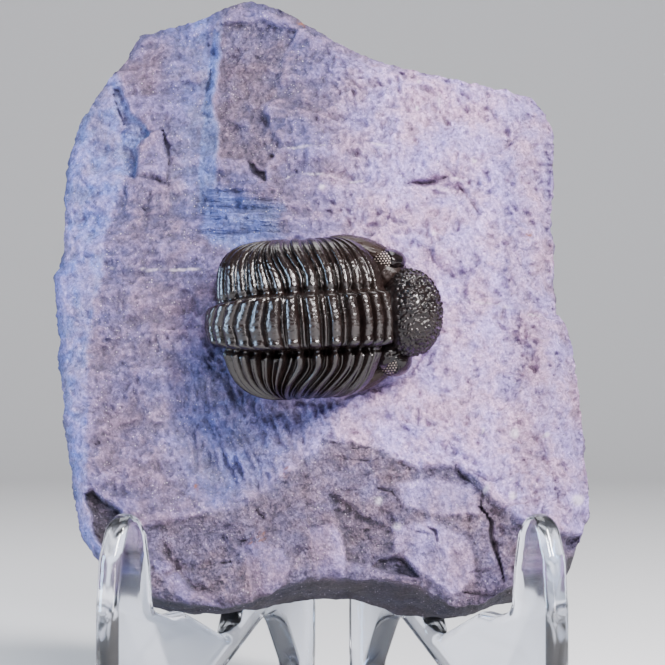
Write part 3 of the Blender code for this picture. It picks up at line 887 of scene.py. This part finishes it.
stoneLook = {
    "shaded": (0.047, 0.043, 0.104),
    "warm": (0.072, 0.055, 0.110),
    "blueLitTint": (0.078, 0.120, 0.320),
    "lilac": (0.300, 0.215, 0.395),
    "brokenDark": (0.032, 0.026, 0.044),
    "brokenLight": (0.138, 0.105, 0.164),
    "dark": (0.020, 0.019, 0.028),
    "calcite": (0.66, 0.58, 0.72),
    "rust": (0.150, 0.050, 0.014),
    "specular": 0.4,
    "rough": (0.78, 0.36),  # plain stone, crystals
    "bump": 1.0,
    "bumpDepth": 0.0012,
    # tone layers: scale and detail, or scale, turn and stretch
    "clouds": {"broad": (60.0, 5.0), "blotch": (330.0, 6.0), "drift": (145.0, 4.0), "fine": (2300.0, 3.0)},
    "streaks": {"slanted": (1500.0, 0.45, 5.0), "level": (1900.0, 1.52, 14.0)},
    "cellScale": 2300.0,
    "pitScale": 1900.0,
    "speckScale": 2500.0,
    "speckCover": 0.42,
    # what the dark and the light places of a layer multiply the colour by
    "tints": {
        "drift": ((0.90, 0.97, 1.16), (1.12, 1.01, 0.86)),
        "blotch": ((0.88, 0.88, 0.90), (1.10, 1.10, 1.10)),
        "fine": ((0.78, 0.78, 0.80), (1.20, 1.18, 1.18)),
        "cells": ((0.76, 0.76, 0.79), (1.30, 1.27, 1.27)),
        "slanted": ((0.88, 0.88, 0.90), (1.28, 1.25, 1.25)),
    },
    "scratchTint": ((0.55, 0.55, 0.60), (1.30, 1.30, 1.30)),
    # how broken, lilac and dark the back is, and how blue
    "backTone": (0.6, 0.3, 0.0, 0.0),
    "backBlue": 0.12,
}


def makeLimestone():
    look = stoneLook
    material, tree, shader = startMaterial("mauveLimestone")
    tone, underShade = readMask(tree, "stoneTone")
    mark, scratched = readMask(tree, "stoneMark")
    layer = {}
    for name, (scale, detail) in look["clouds"].items():
        layer[name] = useGroup(tree, cloudedTone, "Tone", Scale=scale, Detail=detail)
    for name, (scale, turn, stretch) in look["streaks"].items():
        layer[name] = useGroup(tree, fineStreaks, "Streaks", Scale=scale, Turn=turn, Stretch=stretch)
    layer["cells"] = useGroup(tree, mineralGrains, "Tone", Scale=look["cellScale"])
    blotch = layer["blotch"]
    base = mixColour(tree, layer["broad"], look["shaded"], look["warm"])
    base = mixColour(tree, tone["Green"], base, look["lilac"])
    granular = plus(tree, times(tree, layer["cells"], 0.55), times(tree, blotch, 0.45))
    worn = mixColour(tree, granular, look["brokenDark"], look["brokenLight"])
    base = mixColour(tree, times(tree, tone["Red"], 0.8), base, worn)
    # painted blue light, partly the stone's own cool tint, where the blue mark lies
    blueLitShare = times(tree, mark["Blue"], plus(tree, times(tree, blotch, 0.25), 0.65))
    base = mixColour(tree, blueLitShare, base, look["blueLitTint"])
    base = mixColour(tree, times(tree, tone["Blue"], 0.75), base, look["dark"])
    # painted shade on the underside's wall
    base = mixColour(tree, times(tree, underShade, 0.92), base, look["dark"])
    for name, (low, high) in look["tints"].items():
        base = mixColour(tree, 1.0, base, mixColour(tree, layer[name], low, high), "MULTIPLY")
    lines = mixColour(tree, layer["level"], *look["scratchTint"])
    base = mixColour(tree, scratched, base, mixColour(tree, 1.0, base, lines, "MULTIPLY"))
    pits = useGroup(tree, mineralGrains, "Dark", Scale=look["pitScale"])
    base = mixColour(tree, times(tree, pits, 0.35), base, look["dark"])
    specks = useGroup(tree, crystalSpecks, "Specks", Scale=look["speckScale"], Cover=look["speckCover"])
    specks = times(tree, specks, blotch)
    crystals = ((specks, 0.8, "calcite"), (mark["Red"], 0.5, "calcite"), (mark["Green"], 0.9, "rust"))
    for factor, share, colour in crystals:
        base = mixColour(tree, times(tree, factor, share), base, look[colour])
    dull = mixGrey(tree, specks, look["rough"])
    setInputs(tree, shader, {"Base Color": base, "Roughness": dull, "Specular IOR Level": look["specular"]})
    grain = useGroup(tree, stoneGrain, "Height", Coarse=1000.0, Fine=3200.0)
    scored = times(tree, layer["level"], scratched)
    for height, share in ((layer["cells"], 0.16), (layer["slanted"], 0.12), (scored, 0.4)):
        grain = plus(tree, grain, times(tree, height, share))
    deeper = plus(tree, times(tree, tone["Red"], 0.6), 0.65)
    addBump(tree, shader, times(tree, grain, deeper), look["bump"], look["bumpDepth"])
    return material


limestone = makeLimestone()
makeSlab(limestone)

# the trilobite: x along its back towards the head, y across, z out of it; the centre of its
# arch is the origin
fossilShape = {
    "pivot": (-2.0, -5.0, 1.9),
    "roll": math.radians(2.8),
    "backRadius": 16.3,
    "tipRadius": 5.0,
    "upperHalf": 14.3,
    "lowerHalf": 13.2,
    "upperPower": 2.9,
    "lowerPower": 2.0,
    "axisHalf": 4.7,
    "ringAngles": [43.2, 50.8, 58, 65.8, 75.5, 88, 101, 113.5, 125.5, 136, 146.5, 157, 168, 179, 190],
    "headAngle": 46.5,
    "neckAngle": 38.6,
    "startAngle": -9.0,
    "endAngle": 188.0,
    "steps": 360,
    "lines": 230,
    # depths on the straight tail end, and what the bent thorax adds to a ring's depth
    "ringRise": 1.9,
    "ringDepth": 1.35,
    "bentRingDepth": 1.05,
    "flankDepth": 2.1,
    "headStep": 1.6,
    # length of one degree along the back, depth of the skin's coarse and fine wear
    "degreeLength": 0.29,
    "skin": (0.08, 0.045),
    # the rim turns under: how far each ring shrinks and sinks
    "underside": [(0.985, 0.5), (0.95, 0.85), (0.90, 0.9), (0.82, 0.3)],
}


def fossilPlace(point):
    roll = fossilShape["roll"]
    x = point[0] * math.cos(roll) - point[1] * math.sin(roll)
    up = point[0] * math.sin(roll) + point[1] * math.cos(roll)
    pivot = fossilShape["pivot"]
    return Vector((slabX + pivot[0] + x, slabY + pivot[1] - point[2], slabZ + pivot[2] + up))


def placeFossilPiece(name, bm, material):
    for vert in bm.verts:
        vert.co = fossilPlace(vert.co)
    return placePiece(name, bm, material, "trilobite")


def roundBar(share, low, high, crown=0.4):
    # a bar between two places along a ring, its top rounded and its sides steep
    middle = np.clip((share - low) / (high - low), 0.0, 1.0) * 2.0 - 1.0
    return 1.0 - crown * middle**2 - (1.0 - crown) * middle**8


def bodySurface(angle, side):
    # side runs from -1 at the lower rib tips over 0 on the back to 1 at the upper ones
    shape = fossilShape
    place = angle
    upper = side > 0
    reach = np.where(upper, shape["upperHalf"], shape["lowerHalf"])
    power = np.where(upper, shape["upperPower"], shape["lowerPower"])
    share = np.abs(side)
    width = share * reach
    tail = ease(angle, 120.0, 180.0)
    back = shape["backRadius"] + 0.9 * ease(angle, 130.0, 172.0)
    span = back - shape["tipRadius"]
    radius = shape["tipRadius"] + span * np.clip(1.0 - share**power, 0.0, 1.0) ** (1.0 / power)
    axisHalf = shape["axisHalf"] - 1.2 * tail
    centres = np.array(shape["ringAngles"], float)
    borders = np.concatenate([[shape["neckAngle"]], (centres[1:] + centres[:-1]) / 2.0, [196.0]])
    bent = 1.0 - ease(place, 92.0, 122.0)
    slope = 1.25 * ease(angle, 96.0, 135.0) * np.where(upper, 1.0, 0.25)
    bowed = angle + (slope - 0.35 * bent * upper) * np.minimum(width, axisHalf)
    angle = np.clip(bowed, angle - 9.0, angle + 9.0)
    index = np.clip(np.searchsorted(borders, angle) - 1, 0, len(centres) - 1)
    u = np.clip((angle - borders[index]) / (borders[index + 1] - borders[index]), 0.0, 1.0)
    neck = shape["neckAngle"]
    onRings = ease(place, neck - 0.5, neck + 0.5)
    thorax = ease(place, shape["headAngle"] - 0.8, shape["headAngle"] + 0.8)

    # rings of the axis: stout bars, each with a lower half ring on its head side
    onAxis = 1.0 - ease(width, axisHalf - 0.30, axisHalf + 0.30)
    dome = np.sqrt(np.clip(1.0 - (width / (axisHalf + 0.35)) ** 2, 0.0, 1.0))
    half = 0.03 + 0.26 * bent * ease(angle, 58.0, 74.0)
    main = roundBar(u, half + 0.03, 0.98, 0.42 - 0.16 * bent)
    small = 0.62 * roundBar(u, 0.01, half, 0.4) * (half > 0.12)
    ringHeight = np.maximum(main, small)
    depth = shape["ringDepth"] + shape["bentRingDepth"] * bent
    axisRise = shape["ringRise"] * dome**0.75 - depth * (1.0 - ringHeight) * onRings * (0.25 + 0.75 * dome)
    knob = bell(width, axisHalf - 0.75, 0.80) * main
    axisRise += np.where(upper, 0.25, 0.65) * knob * onRings * (1.0 - 0.6 * tail)

    # ribs of the flanks: a broad rear ridge and a narrow front one beside a slanting furrow
    out = np.clip((width - axisHalf) / (reach - axisHalf), 0.0, 1.0)
    cut = 0.10 + np.where(upper, 0.30, 0.12) * out**0.8
    narrow = 0.06 + 0.20 * (1.0 - bent)
    rear = np.where(upper, roundBar(u, cut, 0.97, 0.5), roundBar(u, cut + narrow, 0.94 - 0.6 * narrow, 0.8))
    front = 0.74 * roundBar(u, 0.0, cut, 0.5)
    rib = np.maximum(rear, front)
    split = bell(u, 0.62 + 0.06 * out, 0.07) * ease(out, 0.25, 0.6) * bent * upper
    flankDepth = (shape["flankDepth"] - 0.8 * out) * np.where(upper, 0.75 + 0.25 * bent, 1.25)
    flank = -(flankDepth * (1.0 - rib) + 0.22 * split) * thorax * ease(out, 0.0, 0.05)
    cheek = (1.0 - thorax) * (-0.6 * ease(out, 0.0, 0.2))
    furrow = bell(width, axisHalf + 0.45, 0.60)
    pits = furrow * (0.35 + (1.0 - rib) * np.where(upper, 0.9, 1.7) * thorax)
    pits += np.where(upper, 0.0, 0.5) * furrow
    fall = shape["headStep"] * (1.0 - ease(place, neck - 1.5, neck + 0.5))
    ruffle = 1.0 + 0.016 * (rear - 0.5) * thorax * ease(share, 0.8, 1.0)
    offset = side * reach * ruffle
    radius = radius + onAxis * axisRise + (1.0 - onAxis) * (flank + cheek) - pits - fall
    lowShift = -1.8 - 2.2 * bell(place, 98.0, 24.0) + 2.4 * (1.0 - ease(place, 46.0, 66.0))
    highShift = -1.5 - 1.8 * bell(place, 106.0, 16.0) + 0.8 * (1.0 - ease(place, 66.0, 90.0))
    highShift = highShift * ease(share, 0.35 + 0.15 * bent, 1.0)
    lowShift = lowShift * ease(share, 0.35 + 0.20 * bent, 1.0)
    shift = np.where(upper, highShift, lowShift)
    return radius, offset, shift


def makeFossilBody(material):
    shape = fossilShape
    steps = shape["steps"]
    lines = shape["lines"]
    coarse, fine = shape["skin"]
    angle = np.linspace(shape["startAngle"], shape["endAngle"], steps + 1)[:, None]
    spread = np.linspace(-1.0, 1.0, lines + 1)[None, :]
    side = 0.45 * spread + 0.55 * np.sin(spread * math.pi / 2.0)
    angle = angle + np.zeros_like(side)
    side = side + np.zeros_like(angle)
    radius, offset, shift = bodySurface(angle, side)
    along = angle * shape["degreeLength"]
    radius = radius + coarse * noiseField(along, offset, 1.3, 1.3, 3.0, 3)
    radius = radius + fine * noiseField(along, offset, 3.2, 3.2, 13.0, 3)
    turn = np.radians(angle)
    x = radius * np.cos(turn) + shift
    z = radius * np.sin(turn)
    bm, table, ring, _ = gridSheet(steps, lines)
    for place, vert in table.items():
        vert.co = (x[place], offset[place], z[place])
    start = [vert.co.copy() for vert in ring]
    current = ring
    for shrink, sink in shape["underside"]:
        places = [(p.x * shrink, p.y * shrink, p.z - sink) for p in start]
        current = extrudeRing(bm, current, places)
    bm.faces.new(current)
    return placeFossilPiece("fossilBody", bm, material)


headShape = {
    "glabellaCentre": (16.4, 0.75, 6.4),
    "glabellaRadii": (5.5, 7.4, 7.5),
    "knobs": 860,
    "knobRadius": 0.33,
    "knobHeight": 0.85,
    "knobSizes": (0.65, 1.15),
    "knobSkirt": 0.05,
    # knobs start here, from -1 at the neck to 1 at the front
    "smoothUpTo": -0.42,
}


def spreadPoints(count):
    # evenly spread directions on a ball, then shaken a little
    golden = math.pi * (3.0 - math.sqrt(5.0))
    random = np.random.default_rng(11)
    places = []
    for index in range(count):
        z = 1.0 - 2.0 * (index + 0.5) / count
        ring = math.sqrt(1.0 - z * z)
        place = np.array((math.cos(golden * index) * ring, math.sin(golden * index) * ring, z))
        place += random.normal(0.0, 0.028, 3)
        places.append(place / np.linalg.norm(place))
    return np.array(places)


def makeGlabella(material):
    shape = headShape
    bm = bmesh.new()
    bmesh.ops.create_icosphere(bm, subdivisions=7, radius=1.0)
    directions = np.array([vert.co for vert in bm.verts])
    directions /= np.linalg.norm(directions, axis=1)[:, None]
    random = np.random.default_rng(5)
    knobs = spreadPoints(shape["knobs"])
    sizes = random.uniform(*shape["knobSizes"], len(knobs))
    radii = np.array(shape["glabellaRadii"])
    rise = np.zeros(len(directions))
    for knob, size in zip(knobs, sizes):
        if knob[0] < shape["smoothUpTo"]:
            continue
        gap = np.linalg.norm((directions - knob) * radii, axis=1) / (shape["knobRadius"] * size)
        near = gap < 1.6
        dome = np.sqrt(np.clip(1.0 - gap[near] ** 2, 0.0, 1.0)) * shape["knobRadius"] * size
        knobRise = shape["knobHeight"] * dome + shape["knobSkirt"] * np.exp(-(gap[near] ** 2))
        rise[near] = np.maximum(rise[near], knobRise)
    for vert, direction, bump in zip(bm.verts, directions, rise):
        normal = Vector(direction / radii).normalized()
        vert.co = Vector(shape["glabellaCentre"]) + Vector(direction * radii) + normal * float(bump)
    return placeFossilPiece("fossilGlabella", bm, material)


# patch: middle and half size of the lenses, in the eye's own x and y; shine: how far the lenses are painted
# lighter, a painted light, full on the upper eye facing the light and less on the lower eye turned away
eyeShapes = {
    "upper": {
        "centre": (13.3, 9.7, 4.6), "radii": (2.95, 2.2, 4.4), "patch": (-1.25, 0.05, 1.5, 1.95),
        "lensLight": 1.0,
    },
    "lower": {
        "centre": (13.4, -7.3, 4.0), "radii": (3.1, 2.9, 4.2), "patch": (-1.2, -0.95, 1.6, 1.6),
        "lensLight": 0.45,
    },
}
lensShape = {
    "pitch": 0.54,
    "rowPitch": 0.54 * 0.866,
    "radius": 0.54 * 0.38,
    "rise": 0.15,
    "sink": 0.25,
}


def makeEye(name, shape, material):
    bm = bmesh.new()
    bmesh.ops.create_icosphere(bm, subdivisions=6, radius=1.0)
    skin = bm.verts.layers.float_color.new("skinTone")
    middleA, middleB, halfA, halfB = shape["patch"]
    pitch = lensShape["pitch"]
    rowPitch = lensShape["rowPitch"]
    for vert in bm.verts:
        direction = vert.co.normalized()
        place = Vector([direction[k] * shape["radii"][k] for k in range(3)])
        normal = Vector([direction[k] / shape["radii"][k] for k in range(3)]).normalized()
        a = place.x - middleA
        b = place.y - middleB
        rise = 0.0
        shown = 0.0
        inside = 1.0 - math.hypot(a / halfA, b / halfB)
        if direction.z > 0.1 and inside > -0.15:
            # the nearest lens of a staggered grid, set in a sunken field
            line = round(b / rowPitch)
            stagger = 0.5 * pitch if line % 2 else 0.0
            nearA = round((a - stagger) / pitch) * pitch + stagger
            gap = math.hypot(a - nearA, b - line * rowPitch) / lensShape["radius"]
            shown = max(0.0, 1.0 - gap * gap) * (inside > 0.0)
            field = min(1.0, max(0.0, (inside + 0.15) * 6.0))
            rise = lensShape["rise"] * math.sqrt(shown) - lensShape["sink"] * field
        wrinkle = cloudAt(direction * 3.0 + Vector((4.0, 0.0, 0.0)), 3)
        vert.co = Vector(shape["centre"]) + place + normal * (rise + 0.05 * wrinkle)
        vert[skin] = (shown, shape["lensLight"], 0.0, 1.0)
    return placeFossilPiece(name, bm, material)


cheekShapes = {
    "upperBand": {"centre": (8.3, 12.2, 2.9), "radii": (5.9, 2.1, 4.0), "turn": -17.0, "skin": "cheek"},
    "upperFront": {"centre": (12.7, 7.6, 3.2), "radii": (3.8, 3.7, 5.6), "turn": -30.0, "skin": "cheek"},
    "lowerBand": {"centre": (8.6, -10.2, 1.6), "radii": (5.2, 1.8, 3.4), "turn": 24.0, "skin": "cheek"},
    "lowerFront": {"centre": (12.4, -6.2, 3.2), "radii": (3.4, 3.0, 5.6), "turn": 30.0, "skin": "head"},
}


def makeCheek(name, shape, material):
    bm = bmesh.new()
    bmesh.ops.create_icosphere(bm, subdivisions=5, radius=1.0)
    turn = Matrix.Rotation(math.radians(shape["turn"]), 3, "Z")
    for vert in bm.verts:
        direction = vert.co.normalized()
        place = Vector([direction[k] * shape["radii"][k] for k in range(3)])
        wrinkle = cloudAt(direction * 2.5 + Vector((0.0, 9.0, 0.0)), 3)
        crease = abs(cloudAt(direction * 4.0 + Vector((5.0, 0.0, 2.0)), 4))
        place *= 1.0 + 0.03 * wrinkle - 0.05 * crease
        vert.co = Vector(shape["centre"]) + turn @ place
    return placeFossilPiece(name, bm, material)


fossilFinish = {
    "body": {
        "ior": 1.52, "rough": (0.13, 0.27), "bump": 0.35, "dark": (0.0020, 0.0016, 0.0020),
        "brown": (0.0075, 0.0042, 0.0036),
    },
    "head": {
        "ior": 1.36, "rough": (0.10, 0.16), "bump": 0.12, "dark": (0.0018, 0.0016, 0.0022),
        "brown": (0.0040, 0.0028, 0.0032),
    },
    "cheek": {
        "ior": 1.28, "rough": (0.20, 0.50), "bump": 0.5, "dark": (0.0050, 0.0032, 0.0030),
        "brown": (0.0150, 0.0085, 0.0070),
    },
    "worn": (0.016, 0.010, 0.009),
    "lens": (0.34, 0.28, 0.25),
    "bumpDepth": 0.00024,
}


def makeFossilSkin(name):
    look = {**fossilFinish, **fossilFinish[name]}
    material, tree, shader = startMaterial(name + "Fossil")
    broad = useGroup(tree, cloudedTone, "Tone", Scale=120.0, Detail=4.0)
    fine = useGroup(tree, cloudedTone, "Tone", Scale=900.0, Detail=5.0)
    base = mixColour(tree, broad, look["dark"], look["brown"])
    base = mixColour(tree, times(tree, fine, 0.45), base, look["worn"])
    parts, _ = readMask(tree, "skinTone")
    # the lenses are paler in their own colour, and the shine share paints the upper eye's lenses lit and the
    # lower eye's shaded
    lensShare = times(tree, ramp(tree, parts["Red"], 0.15, 0.8), parts["Green"])
    base = mixColour(tree, lensShare, base, look["lens"])
    gloss = mixGrey(tree, fine, look["rough"])
    setInputs(tree, shader, {"Base Color": base, "Roughness": gloss, "IOR": look["ior"]})
    grain = useGroup(tree, stoneGrain, "Height", Coarse=1300.0, Fine=3800.0)
    addBump(tree, shader, grain, look["bump"], look["bumpDepth"])
    return material


fossilSkins = {name: makeFossilSkin(name) for name in ("body", "head", "cheek")}
makeFossilBody(fossilSkins["body"])
makeGlabella(fossilSkins["head"])
for side in ("upper", "lower"):
    makeEye("fossilEye_" + side, eyeShapes[side], fossilSkins["head"])
for side, shape in cheekShapes.items():
    makeCheek("fossilCheek_" + side, shape, fossilSkins[shape["skin"]])

# the clear easel: u runs from the front edge to the back, v up, then the corner's radius
easelShape = {
    "thickness": 4.5,
    "frontX": 38.3,
    "backX": 4.1,
    "run": 57.0,
    "rim": 1.8,
    "outline": [
        (1.2, 0.0, 2.6), (0.0, 9.0, 12.0), (0.0, 21.0, 10.0), (0.9, 29.6, 8.0), (3.2, 35.6, 5.0),
        (7.2, 37.4, 4.0), (10.6, 34.4, 5.0), (12.0, 28.0, 7.0), (12.9, 20.2, 2.8), (18.0, 19.0, 3.0),
        (22.5, 19.4, 3.0), (37.0, 13.7, 1.4), (60.4, 76.5, 3.0), (66.6, 76.5, 3.0), (66.0, 9.5, 7.0),
        (65.4, 0.0, 2.8), (59.2, 0.0, 2.8), (58.0, 7.4, 4.0), (51.5, 18.4, 5.0), (36.0, 8.7, 16.0),
        (21.5, 0.0, 5.0),
    ],
    # two knuckles on each frame, in turn up the hinge, each with a tab into its frame
    "knuckleRadius": 2.6,
    "knuckleLength": 9.4,
    "knuckleY": 59.5,
    "knuckleHeights": {-1: (24.0, 44.0), 1: (34.0, 54.0)},
    "tabSize": (5.6, 2.6, 8.2),
    "tabPlace": (3.0, -1.1),
}


def roundOutline(corners, steps):
    places = []
    for index, (u, v, radius) in enumerate(corners):
        before = Vector(corners[index - 1][:2])
        here = Vector((u, v))
        after = Vector(corners[(index + 1) % len(corners)][:2])
        inward = (before - here).normalized()
        outward = (after - here).normalized()
        turn = math.pi - inward.angle(outward)
        reach = radius * math.tan(turn / 2.0)
        reach = min(reach, (before - here).length * 0.45, (after - here).length * 0.45)
        start = here + inward * reach
        end = here + outward * reach
        for step in range(steps + 1):
            t = step / steps
            places.append((1 - t) ** 2 * start + 2 * t * (1 - t) * here + t**2 * end)
    return places


def makeEaselFrame(name, side, node, material):
    shape = easelShape
    length = math.hypot(shape["frontX"] - shape["backX"], shape["run"])
    alongX = (shape["frontX"] - shape["backX"]) / length
    alongY = shape["run"] / length
    bm = bmesh.new()
    half = shape["thickness"] / 2.0
    places = roundOutline(shape["outline"], 8)
    base = bm.faces.new([bm.verts.new((place.x, place.y, -half)) for place in places])
    made = bmesh.ops.extrude_face_region(bm, geom=[base], use_keep_orig=True)
    bmesh.ops.translate(bm, verts=newVerts(made), vec=(0.0, 0.0, shape["thickness"]))
    bmesh.ops.recalc_face_normals(bm, faces=bm.faces)
    caps = [face for face in bm.faces if len(face.verts) > 10]
    rims = [edge for face in caps for edge in face.edges]
    bmesh.ops.bevel(
        bm, geom=rims, offset=shape["rim"], offset_type="OFFSET", segments=6, profile=0.5,
        affect="EDGES", clamp_overlap=False, material=-1,
    )
    for vert in bm.verts:
        u, v, w = vert.co
        x = -shape["frontX"] + u * alongX + w * alongY
        vert.co = (side * -x, u * alongY - w * alongX, v)
    tabX, tabY = shape["tabPlace"]
    for low in shape["knuckleHeights"][side]:
        height = low + shape["knuckleLength"] / 2.0
        made = bmesh.ops.create_cone(
            bm, cap_ends=True, segments=40, radius1=shape["knuckleRadius"],
            radius2=shape["knuckleRadius"], depth=shape["knuckleLength"],
        )
        bmesh.ops.translate(bm, verts=made["verts"], vec=(0.0, shape["knuckleY"], height))
        made = bmesh.ops.create_cube(bm, size=1.0)
        bmesh.ops.scale(bm, verts=made["verts"], vec=shape["tabSize"])
        spot = (side * tabX, shape["knuckleY"] + tabY, height)
        bmesh.ops.translate(bm, verts=made["verts"], vec=spot)
    bmesh.ops.translate(bm, verts=bm.verts, vec=(easelX, easelY, 0.0))
    return placePiece(name, bm, material, node, 35.0)


plasticLook = {
    "Base Color": (0.86, 0.90, 1.0),
    "Roughness": 0.09,
    "IOR": 1.49,
    "Transmission Weight": 1.0,
}


def makePlain(name, look):
    material, tree, shader = startMaterial(name)
    setInputs(tree, shader, look)
    return material


clearPlastic = makePlain("clearPlastic", plasticLook)
makeEaselFrame("clearFrameLeft", -1, "stand_left_frame", clearPlastic)
makeEaselFrame("clearFrameRight", 1, "stand_right_frame", clearPlastic)

# plain floor and backdrop in one sweep, soft lights, and the camera
studio = {
    "paper": {"Base Color": (0.64, 0.64, 0.65), "Roughness": 0.9},
    "reach": 1.6,
    "bend": 0.5,
    "underShade": 2.4,
    "air": (0.90, 0.92, 1.0),
    "airStrength": 0.16,
    "picture": 665,
    "cameraDistance": 0.6,
    "cameraRight": 1.05,
    "sensor": 36.0,
    # lights: place, what they point at, width, height, power and colour; middle is the slab's
    "middleHeight": 0.065,
    "lights": {
        "keyRight": ((0.34, -0.42, 0.44), "middle", 0.09, 0.26, 15.8, (1.0, 0.96, 0.95)),
        "fillLeft": ((-0.60, -0.12, 0.12), "middle", 0.20, 0.30, 6.4, (0.50, 0.71, 1.0)),
        "frontTop": ((0.06, -0.56, 0.34), "middle", 0.13, 0.08, 5.0, (1.0, 0.96, 0.97)),
        "frontLow": ((0.22, -0.62, 0.02), "middle", 0.10, 0.14, 1.4, (1.0, 0.95, 0.96)),
        "floorWash": ((0.0, 0.35, 0.9), (0.0, 0.5, 0.0), 0.6, 0.6, 6.0, (1.0, 1.0, 1.0)),
    },
}


def makeFloor():
    bm = bmesh.new()
    reach = studio["reach"]
    profile = [bm.verts.new((-reach, -reach, 0.0)), bm.verts.new((-reach, reach * 0.6, 0.0))]
    for step in range(1, 13):
        turn = math.pi / 2.0 * step / 12
        y = reach * 0.6 + studio["bend"] * math.sin(turn)
        profile.append(bm.verts.new((-reach, y, studio["bend"] * (1.0 - math.cos(turn)))))
    profile.append(bm.verts.new((-reach, reach * 0.6 + studio["bend"], studio["underShade"])))
    edges = [bm.edges.new(pair) for pair in zip(profile, profile[1:])]
    made = bmesh.ops.extrude_edge_only(bm, edges=edges)
    bmesh.ops.translate(bm, verts=newVerts(made), vec=(2.0 * reach, 0.0, 0.0))
    floor = finishMesh("studioFloor", bm, makePlain("palePaper", studio["paper"]))


def addSoftbox(name, place, target, width, height, power, colour):
    data = bpy.data.lights.new(name, "AREA")
    data.shape = "RECTANGLE"
    data.size = width
    data.size_y = height
    data.energy = power
    data.color = colour
    light = addToScene(name, data)
    light.location = place
    light.rotation_euler = (Vector(target) - Vector(place)).to_track_quat("-Z", "Y").to_euler()


makeFloor()
middle = (slabX * mm, slabY * mm, studio["middleHeight"])
for name, (place, target, *values) in studio["lights"].items():
    addSoftbox(name, place, middle if target == "middle" else target, *values)
world = bpy.data.worlds.new("studioAir")
world.use_nodes = True
air = world.node_tree.nodes["Background"]
setInputs(world.node_tree, air, {"Color": studio["air"], "Strength": studio["airStrength"]})
bpy.context.scene.world = world

pictureWidth = studio["picture"] * slabShape["gridStep"] * mm
cameraData = bpy.data.cameras.new("camera")
cameraData.sensor_width = studio["sensor"]
cameraData.lens = studio["sensor"] * studio["cameraDistance"] / pictureWidth
cameraData.clip_start = 0.01
camera = addToScene("camera", cameraData)
camera.location = ((slabX + studio["cameraRight"]) * mm, slabY * mm - studio["cameraDistance"], slabZ * mm)
camera.rotation_euler = (math.pi / 2.0, 0.0, 0.0)
bpy.context.scene.camera = camera
print("studio ready")
